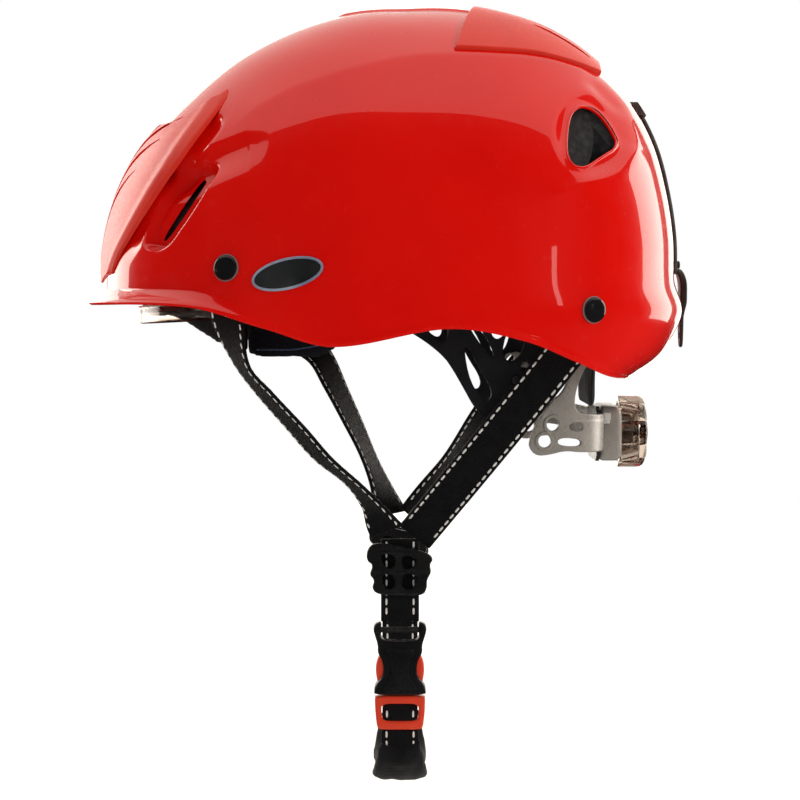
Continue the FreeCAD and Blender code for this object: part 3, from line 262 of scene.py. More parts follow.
def baked(obj):
    """Put the object's modifiers into its mesh."""
    graph = bpy.context.evaluated_depsgraph_get()
    mesh = bpy.data.meshes.new_from_object(obj.evaluated_get(graph))
    old = obj.data
    obj.modifiers.clear()
    obj.data = mesh
    if old.users == 0:
        bpy.data.meshes.remove(old)
    return obj


def prism(name, outline, low, high, axis=1):
    """A closed outline carried along one axis: the cutter's other two axes keep their order."""
    others = [k for k in range(3) if k != axis]
    count = len(outline)
    points = np.zeros((2 * count, 3))
    for row, level in enumerate((low, high)):
        points[row * count:(row + 1) * count, axis] = level
        points[row * count:(row + 1) * count, others] = outline
    faces = [tuple(range(count)), tuple(range(2 * count - 1, count - 1, -1))]
    faces += [(k, (k + 1) % count, count + (k + 1) % count, count + k) for k in range(count)]
    return outward(make(name, points, faces, smooth_faces=False))


def cut(obj, cutters):
    """Cut solids away from obj, then drop the cutters."""
    for cutter in cutters:
        change = obj.modifiers.new("cut", "BOOLEAN")
        change.operation = "DIFFERENCE"
        change.solver = "MANIFOLD"
        change.object = cutter
    baked(obj)
    for cutter in cutters:
        mesh = cutter.data
        bpy.data.objects.remove(cutter)
        bpy.data.meshes.remove(mesh)
    return obj


def crisp(obj, degrees=35.0):
    """Smooth shading with sharp edges above an angle."""
    bm = bmesh.new()
    bm.from_mesh(obj.data)
    limit = math.radians(degrees)
    for edge in bm.edges:
        edge.smooth = not (len(edge.link_faces) == 2 and edge.calc_face_angle(0) > limit)
    for face in bm.faces:
        face.smooth = True
    bm.to_mesh(obj.data)
    bm.free()
    return obj


def joined(name, objects):
    """Several meshes as one object."""
    bm = bmesh.new()
    for part in objects:
        bm.from_mesh(part.data)
        mesh = part.data
        bpy.data.objects.remove(part)
        bpy.data.meshes.remove(mesh)
    mesh = bpy.data.meshes.new(name)
    bm.to_mesh(mesh)
    bm.free()
    obj = bpy.data.objects.new(name, mesh)
    bpy.context.scene.collection.objects.link(obj)
    return obj


def tube(name, path, radius, closed=False, sides=10):
    """A round bead along points in millimetres."""
    path = np.asarray(path, float)
    if closed:
        along = np.roll(path, -1, 0) - np.roll(path, 1, 0)
    else:
        along = np.gradient(path, axis=0)
    along /= np.linalg.norm(along, axis=1, keepdims=True)
    ray = path - CENTRE
    first = ray - along * np.sum(ray * along, 1, keepdims=True)
    first /= np.linalg.norm(first, axis=1, keepdims=True)
    second = np.cross(along, first)
    turn = np.linspace(0, 2 * math.pi, sides, endpoint=False)
    rings = path[:, None] + radius * (np.cos(turn)[None, :, None] * first[:, None]
                                      + np.sin(turn)[None, :, None] * second[:, None])
    faces = ring_faces(len(path), sides) if closed else tube_faces(len(path), sides)
    return outward(make(name, rings.reshape(-1, 3), faces))


def plate(name, outline, holes, thick, bevel=0.8, cuts=None, segments=3):
    """A flat plate with rounded edges in local x, y, from z = 0 to thick, in millimetres."""
    curve = bpy.data.curves.new(name, "CURVE")
    curve.dimensions = "2D"
    curve.fill_mode = "BOTH"
    for loop in [outline] + list(holes):
        spline = curve.splines.new("POLY")
        spline.points.add(len(loop) - 1)
        for point, (x, y) in zip(spline.points, loop):
            point.co = (x, y, 0, 1)
        spline.use_cyclic_u = True
    curve.extrude = max(thick / 2 - bevel, 0.01)
    curve.bevel_depth = bevel
    curve.bevel_resolution = segments
    curve.offset = -bevel
    holder = bpy.data.objects.new(name + "_outline", curve)
    bpy.context.scene.collection.objects.link(holder)
    graph = bpy.context.evaluated_depsgraph_get()
    mesh = bpy.data.meshes.new_from_object(holder.evaluated_get(graph))
    bpy.data.objects.remove(holder)
    bpy.data.curves.remove(curve)
    bm = bmesh.new()
    bm.from_mesh(mesh)
    bmesh.ops.translate(bm, verts=bm.verts, vec=(0, 0, thick / 2))
    bmesh.ops.remove_doubles(bm, verts=bm.verts, dist=0.01)
    for axis, low, high, step in cuts or []:
        normal = [0, 0, 0]
        normal[axis] = 1
        for level in np.arange(low, high, step):
            at = [0, 0, 0]
            at[axis] = level
            everything = bm.verts[:] + bm.edges[:] + bm.faces[:]
            bmesh.ops.bisect_plane(bm, geom=everything, plane_co=at, plane_no=normal)
    bmesh.ops.recalc_face_normals(bm, faces=bm.faces)
    bm.to_mesh(mesh)
    bm.free()
    obj = bpy.data.objects.new(name, mesh)
    bpy.context.scene.collection.objects.link(obj)
    return crisp(obj, 50)


def place(obj, change):
    """Move a mesh's points from local millimetres to metres through a function of an array."""
    mesh = obj.data
    points = np.zeros(len(mesh.vertices) * 3)
    mesh.vertices.foreach_get("co", points)
    moved = np.asarray(change(points.reshape(-1, 3)), float) * MM
    mesh.vertices.foreach_set("co", moved.ravel())
    mesh.update()
    return obj


def facing_left(x, y_out, z):
    """Local x is X, local y is up, and local z is towards the wearer's left, from |Y| = y_out."""
    return lambda p: np.stack([x + p[:, 0], -(y_out + p[:, 2]), z + p[:, 1]], -1)


def flipped(obj, name):
    """The same piece on the wearer's right."""
    mesh = obj.data.copy()
    other = bpy.data.objects.new(name, mesh)
    bpy.context.scene.collection.objects.link(other)
    bm = bmesh.new()
    bm.from_mesh(mesh)
    for vertex in bm.verts:
        vertex.co.y = -vertex.co.y
    bmesh.ops.reverse_faces(bm, faces=bm.faces)
    bm.to_mesh(mesh)
    bm.free()
    return other


# ------------------------------------------------------------ finishes

class Finish:
    """A procedural material built node by node."""

    def __init__(self, name, colour, roughness, **sockets):
        self.material = bpy.data.materials.new(name)
        self.material.use_nodes = True
        self.tree = self.material.node_tree
        self.shader = self.tree.nodes["Principled BSDF"]
        self.set(**{"Base Color": (*colour, 1), "Roughness": roughness})
        self.set(**{key.replace("_", " "): value for key, value in sockets.items()})
        self.place = self.tree.nodes.new("ShaderNodeTexCoord").outputs["Object"]
        self.surface = None

    def set(self, **sockets):
        for key, value in sockets.items():
            self.shader.inputs[key].default_value = value

    def node(self, kind, fields=None, **inputs):
        """A node with its settings and inputs. Inputs may be values or other nodes' outputs."""
        made = self.tree.nodes.new(kind)
        for key, value in (fields or {}).items():
            setattr(made, key, value)
        for key, value in inputs.items():
            numbered = key[0] == "i" and key[1:].isdigit()
            socket = made.inputs[int(key[1:]) if numbered else key.replace("_", " ")]
            if isinstance(value, bpy.types.NodeSocket):
                self.tree.links.new(value, socket)
            else:
                socket.default_value = value
        return made

    def math(self, operation, a, b=0.0):
        return self.node("ShaderNodeMath", {"operation": operation}, i0=a, i1=b).outputs[0]

    def stretched(self, x, y, z):
        return self.node("ShaderNodeMapping", Vector=self.place, Scale=(x, y, z)).outputs[0]

    def noise(self, scale, detail=3.0, vector=None):
        made = self.node("ShaderNodeTexNoise", Vector=vector or self.place, Scale=scale, Detail=detail)
        return made.outputs["Fac"]

    def cells(self, scale):
        made = self.node("ShaderNodeTexVoronoi", {"feature": "F1"}, Vector=self.place, Scale=scale)
        return made.outputs["Distance"]

    def between(self, field, low, high, start=0.3, end=0.7):
        """The field, taken from start..end to low..high."""
        made = self.node("ShaderNodeMapRange", Value=field)
        for key, value in (("From Min", start), ("From Max", end), ("To Min", low), ("To Max", high)):
            made.inputs[key].default_value = value
        return made.outputs[0]

    def colours(self, field, first, second):
        mix = self.node("ShaderNodeMix", {"data_type": "RGBA"}, i0=field)
        mix.inputs[6].default_value = (*first, 1)
        mix.inputs[7].default_value = (*second, 1)
        self.tree.links.new(mix.outputs[2], self.shader.inputs["Base Color"])
        return mix.outputs[2]

    def roughness(self, field, low, high, start=0.3, end=0.7):
        self.tree.links.new(self.between(field, low, high, start, end), self.shader.inputs["Roughness"])

    def relief(self, height, distance, strength=1.0):
        """Raise the surface by a field: distance is in millimetres."""
        bump = self.node("ShaderNodeBump", Height=height, Strength=strength, Distance=distance * MM)
        if self.surface is not None:
            self.tree.links.new(self.surface, bump.inputs["Normal"])
        self.surface = bump.outputs["Normal"]
        self.tree.links.new(self.surface, self.shader.inputs["Normal"])

    def edges(self):
        """How much painted highlight an edge takes: 1 on a convex edge, 0 on a flat."""
        point = self.tree.nodes.new("ShaderNodeNewGeometry").outputs["Pointiness"]
        return self.between(point, 0, 1, 0.52, 0.62)


def gloss_red():
    f = Finish("gloss_red", (0.80, 0.003, 0.001), 0.3, Coat_Weight=1.0, Coat_Roughness=0.02,
               Specular_IOR_Level=0.12)
    f.colours(f.between(f.noise(22, 2), 0, 1), (0.76, 0.0025, 0.0006), (0.82, 0.0045, 0.001))
    f.roughness(f.noise(140, 5), 0.20, 0.28)
    f.relief(f.noise(150, 2), 0.02, 0.10)
    return f.material


def satin_red():
    f = Finish("satin_red", (0.80, 0.03, 0.01), 0.34, Specular_IOR_Level=0.5)
    f.colours(f.between(f.noise(45, 4), 0, 1), (0.74, 0.020, 0.006), (0.82, 0.030, 0.010))
    f.roughness(f.noise(600, 3), 0.32, 0.44)
    f.relief(f.noise(2600, 2), 0.03, 0.5)
    return f.material


def bead_foam():
    f = Finish("bead_foam", (0.045, 0.047, 0.052), 0.72)
    cells = f.cells(290)
    f.colours(f.between(cells, 0, 1, 0.1, 0.7), (0.030, 0.031, 0.035), (0.012, 0.012, 0.014))
    f.roughness(f.noise(900), 0.62, 0.82)
    f.relief(cells, 0.35, 0.6)
    f.relief(f.noise(1600, 3), 0.06, 0.5)
    return f.material


def knit(name, dark, light, pitch=1.1, sheen=0.35):
    """Soft knitted cloth: rows of small stitches with a faint sheen."""
    f = Finish(name, dark, 0.85, Sheen_Weight=sheen, Sheen_Roughness=0.45, Specular_IOR_Level=0.25)
    waves = [f.node("ShaderNodeTexWave", {"bands_direction": axis}, Vector=f.place, Scale=314 / pitch,
                    Distortion=1.2, Detail=1.0).outputs["Fac"] for axis in ("X", "Z")]
    loops = f.math("MULTIPLY", *waves)
    f.colours(f.between(f.noise(60, 4), 0, 1), dark, light)
    f.roughness(f.noise(500), 0.78, 0.95)
    f.relief(loops, 0.25, 0.55)
    f.relief(f.noise(2200, 3), 0.08, 0.4)
    return f.material


def webbing():
    """Flat woven webbing: u is across and v along, in millimetres."""
    f = Finish("webbing", (0.010, 0.010, 0.012), 0.62, Sheen_Weight=0.06, Sheen_Roughness=0.4,
               Specular_IOR_Level=0.3)
    uv = f.node("ShaderNodeSeparateXYZ", Vector=f.tree.nodes["Texture Coordinate"].outputs["UV"])
    across, along = uv.outputs[0], uv.outputs[1]
    column = f.math("DIVIDE", across, 1.15)
    shift = f.math("MULTIPLY", f.math("FLOOR", column), 0.5)
    pick = f.math("PINGPONG", f.math("ADD", f.math("DIVIDE", along, 1.5), shift), 0.5)
    warp = f.math("PINGPONG", column, 0.5)
    weave = f.math("MINIMUM", pick, warp)
    tone = f.math("ADD", f.math("MULTIPLY", weave, 1.1), f.math("MULTIPLY", f.noise(160, 4), 0.5))
    f.colours(tone, (0.002, 0.002, 0.003), (0.014, 0.014, 0.017))
    f.roughness(f.noise(700), 0.50, 0.75)
    f.relief(weave, 0.34, 0.9)
    f.relief(f.noise(3000, 2), 0.05, 0.5)
    return f.material


def thread():
    f = Finish("thread", (0.80, 0.79, 0.75), 0.55, Sheen_Weight=0.2)
    f.colours(f.between(f.noise(1800, 3), 0, 1), (0.62, 0.61, 0.58), (0.86, 0.85, 0.82))
    twist = f.node("ShaderNodeTexWave", {"bands_direction": "DIAGONAL"}, Vector=f.place, Scale=420.0)
    f.relief(twist.outputs["Fac"], 0.1, 0.6)
    return f.material


def moulded(name, dark, light, low=0.34, high=0.5, highlight_tint=None, grain=1300, **sockets):
    """Injection-moulded plastic: fine grain, uneven sheen and paler convex edges, which are a painted edge
    highlight.
    """
    f = Finish(name, dark, low, **sockets)
    base = f.colours(f.between(f.noise(70, 4), 0, 1), dark, light)
    if highlight_tint:
        # Paler convex edges: a painted edge highlight mixed into the base colour, broken up by noise.
        painted_highlight = f.math("MULTIPLY", f.edges(), f.between(f.noise(260, 4), 0.2, 1.0))
        mix = f.node("ShaderNodeMix", {"data_type": "RGBA"}, i0=painted_highlight, i6=base)
        mix.inputs[7].default_value = (*highlight_tint, 1)
        f.tree.links.new(mix.outputs[2], f.shader.inputs["Base Color"])
    f.roughness(f.noise(420, 4), low, high)
    f.relief(f.noise(grain, 2), 0.03, 0.45)
    return f.material


def clear(name, tint, roughness=0.08, **sockets):
    """Transparent plastic with flow marks."""
    f = Finish(name, tint, roughness, Transmission_Weight=1.0, IOR=1.46, **sockets)
    f.colours(f.between(f.noise(50, 3), 0, 1), tint, tuple(0.86 * c for c in tint))
    f.roughness(f.noise(180, 4), roughness, roughness + 0.12)
    f.relief(f.noise(220, 2), 0.05, 0.25)
    return f.material


def metal(name, colour, low, high):
    f = Finish(name, colour, low, Metallic=1.0)
    brushed = f.noise(60, 5, f.stretched(1, 18, 18))
    f.colours(f.between(brushed, 0, 1), colour, tuple(0.75 * c for c in colour))
    f.roughness(brushed, low, high)
    f.relief(brushed, 0.02, 0.4)
    return f.material


def stage_paper():
    f = Finish("stage_paper", (0.86, 0.86, 0.85), 0.75)
    f.colours(f.between(f.noise(6, 3), 0, 1), (0.85, 0.85, 0.84), (0.88, 0.88, 0.87))
    f.relief(f.noise(500, 3), 0.05, 0.2)
    return f.material


GLOSS_RED = gloss_red()
SATIN_RED = satin_red()
BEAD_FOAM = bead_foam()
PAD_CLOTH = knit("pad_cloth", (0.006, 0.006, 0.007), (0.013, 0.013, 0.015), 0.9, 0.12)
PAD_SKIN = knit("pad_skin", (0.004, 0.005, 0.008), (0.009, 0.010, 0.016), 1.2, 0.05)
PIPING = knit("piping", (0.030, 0.045, 0.090), (0.055, 0.080, 0.150), 0.8)
WEBBING = webbing()
THREAD = thread()
BLACK_PLASTIC = moulded("black_plastic", (0.006, 0.006, 0.007), (0.013, 0.013, 0.014), 0.22, 0.38,
                        (0.08, 0.08, 0.085))
CRADLE_BLACK = moulded("cradle_black", (0.010, 0.011, 0.015), (0.018, 0.020, 0.027), 0.34, 0.48,
                       (0.06, 0.065, 0.08))
BUCKLE_RED = moulded("buckle_red", (0.66, 0.035, 0.008), (0.76, 0.050, 0.014), 0.30, 0.42,
                     (0.75, 0.12, 0.07))
ARM_GREY = moulded("arm_grey", (0.30, 0.28, 0.255), (0.40, 0.375, 0.345), 0.24, 0.36, (0.55, 0.53, 0.50),
                   Metallic=0.2)
SMOKY = clear("smoky_plastic", (0.40, 0.34, 0.29), 0.05)
CLEAR = clear("clear_plastic", (0.92, 0.80, 0.70), 0.06)
BRONZE = metal("bronze_plastic", (0.48, 0.20, 0.11), 0.22, 0.38)
STEEL = metal("steel", (0.55, 0.55, 0.56), 0.20, 0.36)
GEAR = moulded("gear_white", (0.62, 0.61, 0.58), (0.72, 0.71, 0.68), 0.35, 0.5)
RUBBER = moulded("retainer_rubber", (0.020, 0.019, 0.016), (0.036, 0.034, 0.028), 0.42, 0.6,
                 (0.10, 0.095, 0.08))
RIVET_BLACK = moulded("rivet_black", (0.006, 0.006, 0.007), (0.012, 0.012, 0.013), 0.12, 0.22)
RIVET_RING = moulded("rivet_ring", (0.16, 0.15, 0.15), (0.24, 0.23, 0.23), 0.18, 0.30)
BADGE_FACE = moulded("badge_black", (0.012, 0.014, 0.015), (0.030, 0.033, 0.034), 0.28, 0.5, None, 900)
BADGE_RIM = moulded("badge_rim", (0.16, 0.20, 0.30), (0.34, 0.40, 0.52), 0.14, 0.26)


def finished(obj, material, slot, body, *nodes):
    """Give a new piece its material, the body it rides on and the CAD nodes it stands for, which it hides;
    slot is not used.
    """
    obj.data.materials.clear()
    obj.data.materials.append(material)
    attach(obj, body)
    if nodes:
        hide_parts(*nodes)
    return obj


def repaint(material, *names):
    """Give carried-over CAD nodes a better material."""
    for name in names:
        obj = NODES[name]
        if not obj.material_slots:
            obj.data.materials.append(material)
        for index in range(len(obj.material_slots)):
            obj.material_slots[index].material = material


# ------------------------------------------------------------ shell

CROWN_RIDGE = [(-72, 72), (-66.9, 76.9), (-56.7, 85.2), (-41, 93.8), (-18.5, 101.7), (4.1, 107.5),
               (16.9, 109.6),
               (31.4, 109.7), (63.3, 109.6), (76.6, 108.6), (90.2, 105.4)]
REAR_RIDGE = [(116, 71), (113.5, 67.6), (105.2, 58.9), (88, 50.8), (73.5, 45), (62, 42)]
WEDGE_TOP = [(-96, 63.5), (-91.2, 65.4), (-76, 70.7), (-61.2, 75.3), (-49.7, 74.5)]
SCOOP = rounded([(-99, 52), (-92, 60), (-84, 63), (-76, 62), (-74.4, 57.5), (-83.1, 42.3), (-90.4, 32.1),
                 (-96.5, 24.0), (-103, 21.6), (-109.4, 24.2), (-108, 34)], 2)
SCOOP_EDGE = [(-74.4, 59.5), (-83.1, 42.3), (-90.4, 32.1), (-97.5, 23)]
PLATE_EDGE = [(-71.9, 91.6), (-76.5, 82.9), (-85.2, 70.7), (-94.1, 57.9), (-105.3, 42.2), (-114.7, 28.8),
              (-122.2, 17.5)]
BROW_CREASE = [(-74.3, 44), (-77.5, 34), (-80.5, 27)]
REAR_GROOVE = [(88, 101.5), (96, 98.6), (103.6, 93.4), (110, 88.6), (116, 83.5)]
SIDE_VENT = rounded([(84.0, 84), (88.5, 88.2), (94.5, 88.2), (99.5, 85.2), (104.8, 78), (107.8, 70.0),
                     (99, 64.6),
                     (90.5, 58.8), (84.5, 58.8), (81.4, 63), (82.2, 73)], 2)
SCOOP_SLIT = rounded([(-81.0, 54.6), (-79.2, 52.6), (-88.0, 39.0), (-97.6, 26.2), (-99.6, 27.2),
                      (-90.0, 41.4)], 1)
FLARE_TOP = 6.0
BRIM_REACH = 8.0


def brim_fade(azimuth):
    """1 at the front, falling to 0 where the brim runs out at the sides."""
    return ease((-np.cos(azimuth) - 0.38) / 0.45)


def modelling(points, azimuth, rim):
    """How far the moulded details stand out of the plain dome, negative inward, and the brim's flare."""
    x, y, z = points[..., 0], np.abs(points[..., 1]), points[..., 2]
    away, share, _ = line_distance(x, z, CROWN_RIDGE)
    side_on = ease((y - 25) / 20)
    out = 1.5 * np.exp(-np.sqrt(away ** 2 + 0.8) / 8) * ease(share * 7) * side_on
    away, share, _ = line_distance(x, z, REAR_RIDGE)
    fade = ease((1 - share) * 3) * ease(share * 6 + 0.4)
    out += 1.5 * np.exp(-np.sqrt(away ** 2 + 0.6) / 6) * fade * side_on
    away, share, _ = line_distance(x, z, BROW_CREASE)
    out += 0.5 * np.exp(-np.sqrt(away ** 2 + 0.5) / 3) * ease(share * 5) * ease((1 - share) * 5) * side_on

    away, share, side = line_distance(x, z, WEDGE_TOP)
    below = np.where(side < 0, away, -away)
    strength = (1 - share) ** 0.8 * ease((-47 - x) / 9) * side_on
    out -= 4.6 * strength * ease((below + 0.3) / 6.5) * (1 - ease((below - 7) / 13))

    away, share, side = line_distance(x, z, SCOOP_EDGE)
    edge_gap, _, _ = line_distance(x, z, SCOOP + SCOOP[:1])
    signed = np.where(inside(x, z, SCOOP), edge_gap, -edge_gap)
    reach = np.clip(1 - away / 26, 0, 1)
    out -= side_on * ease((signed + 0.8) / 3.6) * (0.8 + 6.6 * reach)

    away, share, side = line_distance(x, z, PLATE_EDGE)
    behind = np.where(side > 0, away, -away)
    fade = ease((share - 0.06) * 9) * ease((1 - share) * 4)
    out -= side_on * 2.6 * ease((behind + 3) / 3.5) * (1 - ease((behind - 1.5) / 6)) * fade

    away, share, _ = line_distance(x, z, REAR_GROOVE)
    out -= side_on * 1.3 * np.exp(-(away / 3.2) ** 2) * ease(share * 2.5) * ease((1 - share) * 2.5)
    hollow = np.hypot((x - 96) / 22, (z - 74) / 23)
    out -= side_on * 2.6 * (1 - ease((hollow - 0.5) / 0.5))
    lip, _, _ = line_distance(x, z, SIDE_VENT + SIDE_VENT[:1])
    out += side_on * 0.8 * np.exp(-(lip / 1.5) ** 2)

    crest = ease((24 - y) / 2.0) * ease((x + 24) / 6) * ease((44 - x) / 3) * (z > 90)
    out += 0.9 * crest
    rear_flute = np.exp(-((y - 13) / 5.0) ** 2) * ease((x - 70) / 30)
    out -= 2.0 * rear_flute * ease((100 - z) / 25) * ease((z - 2) / 16)

    rise = np.clip((FLARE_TOP - (z - rim)) / FLARE_TOP, 0, 1)
    flare = BRIM_REACH * brim_fade(azimuth) * rise ** 1.15
    bead = 0.8 * np.exp(-((z - rim - 0.6) / 1.3) ** 2)
    return out, flare + bead


def rim_elevation(azimuth, lift, out=0.0):
    """Elevation at which the dome meets the rim line, raised by lift."""
    low, high = np.full(azimuth.shape, math.radians(-26)), np.full(azimuth.shape, math.radians(40))
    for _ in range(40):
        middle = (low + high) / 2
        p = dome_point(azimuth, middle, out)
        under = p[..., 2] < rim_level(p[..., 0]) + lift
        low, high = np.where(under, middle, low), np.where(under, high, middle)
    return low


def bowl(name, columns, rows, inner_rows, out, wall, lift=0.0, shaped=False):
    """A dome-shaped wall with a rounded lip. A shaped wall is moulded outside, a plain one gives way to
    the hollows. The inner face has half as many columns."""
    azimuth = np.linspace(0, 2 * math.pi, columns, endpoint=False)
    if shaped:
        azimuth = azimuth + 0.14 * np.sin(2 * azimuth) + 0.05 * np.sin(4 * azimuth)
    start = rim_elevation(azimuth, lift, out)
    t = np.linspace(0, 1, rows + 1)[1:][::-1]
    if shaped:
        t = t - 0.06 * np.sin(2 * math.pi * t)
    points, faces = [], []
    elevation = start[None] + (math.pi / 2 - start[None]) * t[1:, None]
    turns = np.broadcast_to(azimuth, elevation.shape)
    outer = dome_point(turns, elevation, out)
    edge = dome_point(azimuth, start, out)
    crown = dome_point(np.zeros(1), np.array([math.pi / 2]), out)[0]
    if shaped:
        def formed(face, turn):
            bump, flare = modelling(face, turn, rim_level(face[..., 0]) + lift)
            away = face - CENTRE
            away[..., 2] = 0
            away /= np.maximum(np.linalg.norm(away, axis=-1, keepdims=True), 1e-6)
            return face + dome_normal(face) * bump[..., None] + away * flare[..., None]
        outer = formed(outer, turns)
        edge = formed(edge, azimuth)
        crown = crown + np.array([0, 0, 0.9])
    else:
        bump, _ = modelling(outer - dome_normal(outer) * out, turns, rim_level(outer[..., 0]))
        outer = outer + dome_normal(outer) * np.minimum(bump, 0)[..., None]
    points.append(crown[None])
    points.append(outer.reshape(-1, 3))
    count = len(outer)
    faces += [(0, 1 + c, 1 + (c + 1) % columns) for c in range(columns)]
    faces += grid_faces(count, columns, True, 1)
    level = edge - CENTRE
    level[:, 2] = 0
    level /= np.linalg.norm(level, axis=1, keepdims=True)
    down = np.array([0, 0, -1.0])
    half = wall / 2
    depth = half * min(1.0, 3.08 / wall)
    last = 1 + (count - 1) * columns
    total = 1 + count * columns
    steps = 5
    for k in range(steps):
        turn = math.pi * k / (steps - 1)
        ring = edge + level * (half * math.cos(turn) - half) + down * (depth * math.sin(turn))
        points.append(ring)
        for c in range(columns):
            d = (c + 1) % columns
            faces.append((last + c, last + d, total + d, total + c))
        last = total
        total += columns
    half_columns = columns // 2
    t = np.linspace(0, 1, inner_rows + 1)[:-1] ** 0.9
    coarse = azimuth[::2]
    inner_start = rim_elevation(coarse, lift, out - wall)
    elevation = inner_start[None] + 0.012 + (math.pi / 2 - inner_start[None] - 0.012) * t[:, None]
    turns = np.broadcast_to(coarse, elevation.shape)
    inner = dome_point(turns, elevation, out - wall)
    if shaped:
        rise = np.clip(1 - (inner[..., 2] - rim_level(inner[..., 0])) / FLARE_TOP, 0, 1)
        reach = BRIM_REACH * brim_fade(turns) * rise ** 1.15
        inner[..., 0] += reach * np.cos(turns)
        inner[..., 1] += reach * np.sin(turns)
        bump, _ = modelling(inner, turns, rim_level(inner[..., 0]))
        inner += dome_normal(inner) * np.minimum(bump, 0)[..., None]
    points.append(inner.reshape(-1, 3))
    for c in range(half_columns):
        d = (c + 1) % half_columns
        faces.append((last + 2 * c, last + 2 * c + 1, last + (2 * c + 2) % columns, total + d, total + c))
    faces += grid_faces(inner_rows, half_columns, True, total)
    top = total + inner_rows * half_columns
    points.append(dome_point(np.zeros(1), np.array([math.pi / 2]), out - wall)[0][None])
    end = total + (inner_rows - 1) * half_columns
    faces += [(top, end + (c + 1) % half_columns, end + c) for c in range(half_columns)]
    return outward(make(name, np.concatenate(points), faces))


LOUVRES = (-30, -18, -6, 6, 18, 30)


def louvre_cutters(low, high, half=2.2):
    outline = rounded([(70, -half), (97, -half), (97, half), (70, half)], 2)
    return [prism("cutter", [(x, y + p) for x, p in outline], low, high, 2) for y in LOUVRES]


def vent_bead(name, outline, radius, side, sink=0.0):
    """A rolled edge round an opening in the side of the shell."""
    x, z = (np.array(column) for column in zip(*outline))
    path = face_at(x, z, side)
    bump, _ = modelling(path, np.full(x.shape, 1.5), rim_level(x))
    return tube(name, path + dome_normal(path) * (bump - sink)[:, None], radius, True)


shell = bowl("shell", 760, 230, 46, 0.0, 2.2, shaped=True)
cut(shell, [prism("cutter", SIDE_VENT, -150, 150), prism("cutter", SCOOP_SLIT, -150, 150)]
    + louvre_cutters(100, 150))
crisp(shell, 42)
finished(shell, GLOSS_RED, "shell_red", "helmet", "outer_shell")

for side, hand in ((-1, "left"), (1, "right")):
    bead = vent_bead("vent_edge_" + hand, SIDE_VENT, 0.75, side, 0.35)
    finished(bead, GLOSS_RED, "shell_red", "helmet")


# ------------------------------------------------------------ applied plates

def skin_patch(name, rows, edge, proud):
    """A closed patch lying on the dome. rows is an array of starting rays (from, way), already spread out.
    Its border is rounded over the edge width."""
    start, way, gap = rows
    under = 0.15
    height = under + (proud - under) * np.sqrt(np.clip(1 - (1 - np.clip(gap / edge, 0, 1)) ** 2, 0, 1))
    top = cast(start, way, height)
    bottom = cast(start, way, np.full(gap.shape, under))
    r, c = gap.shape
    points = np.concatenate([top.reshape(-1, 3), bottom.reshape(-1, 3)])
    return outward(make(name, points, sealed_faces(r, c)))


def spread(count, edge_share):
    """Shares from 0 to 1, crowded at both ends for a rounded border."""
    ends = np.array([0, 0.12, 0.3, 0.55, 0.85, 1.2]) * edge_share
    inner = np.linspace(ends[-1], 1 - ends[-1], count)[1:-1]
    return np.concatenate([ends, inner, 1 - ends[::-1]])


def make_cover():
    """The satin cover over the rear of the crown, with its louvres."""
    low_edge = smooth([(28, 112.6), (48, 112.0), (67, 111.4), (80, 109.4), (92, 106.6), (106, 103.0)])
    front = lambda s: 43.5 - 12.0 * s ** 1.2
    rear = lambda s: 101.5 - 1.0 * s
    u, v = spread(56, 0.022), spread(84, 0.012)
    across = 2 * v - 1
    uu, vv = np.meshgrid(u, across, indexing="ij")
    s = np.abs(vv)
    x = front(s) + (rear(s) - front(s)) * uu
    foot = cast(np.stack([x, 0 * x, low_edge(x)], -1), np.array([0.0, -1.0, 0.0]))
    reach = np.arctan2(-foot[..., 1], foot[..., 2] - 40)
    angle = reach * vv
    start = np.stack([x, 0 * x, 40 + 0 * x], -1)
    way = np.stack([0 * x, np.sin(angle), np.cos(angle)], -1)
    length = 76.0
    width = 85.0
    gap = np.minimum(np.minimum(uu, 1 - uu) * length, (1 - s) * width)
    return skin_patch("rear_cover", (start, way, gap), 1.5, 2.8)


cover = make_cover()
cut(cover, louvre_cutters(90, 170, 2.2))
crisp(cover, 40)
finished(cover, SATIN_RED, "plate_red", "helmet", "rear_vent_cover")


def leaf(low, high, bow, wide):
    """A slender leaf between two points of the front view, bowed to one side."""
    (y0, z0), (y1, z1) = low, high
    length = math.dist(low, high)
    ax, az = (y1 - y0) / length, (z1 - z0) / length
    left, right = [], []
    for k in range(9):
        t = k / 8
        swell = math.sin(math.pi * t ** 0.75) * wide / 2 + 0.35
        arch = bow * math.sin(math.pi * t)
        middle = (y0 + ax * length * t - az * arch, z0 + az * length * t + ax * arch)
        left.append((middle[0] - az * swell, middle[1] + ax * swell))
        right.append((middle[0] + az * swell, middle[1] - ax * swell))
    return left + right[::-1]


LEAVES = [((13, 68), (50, 90), 5.0, 5.0), ((15, 50), (52, 84), 7.0, 5.4), ((19, 33), (51, 74), 8.0, 5.4),
          ((24, 18), (47, 60), 8.0, 5.0)]


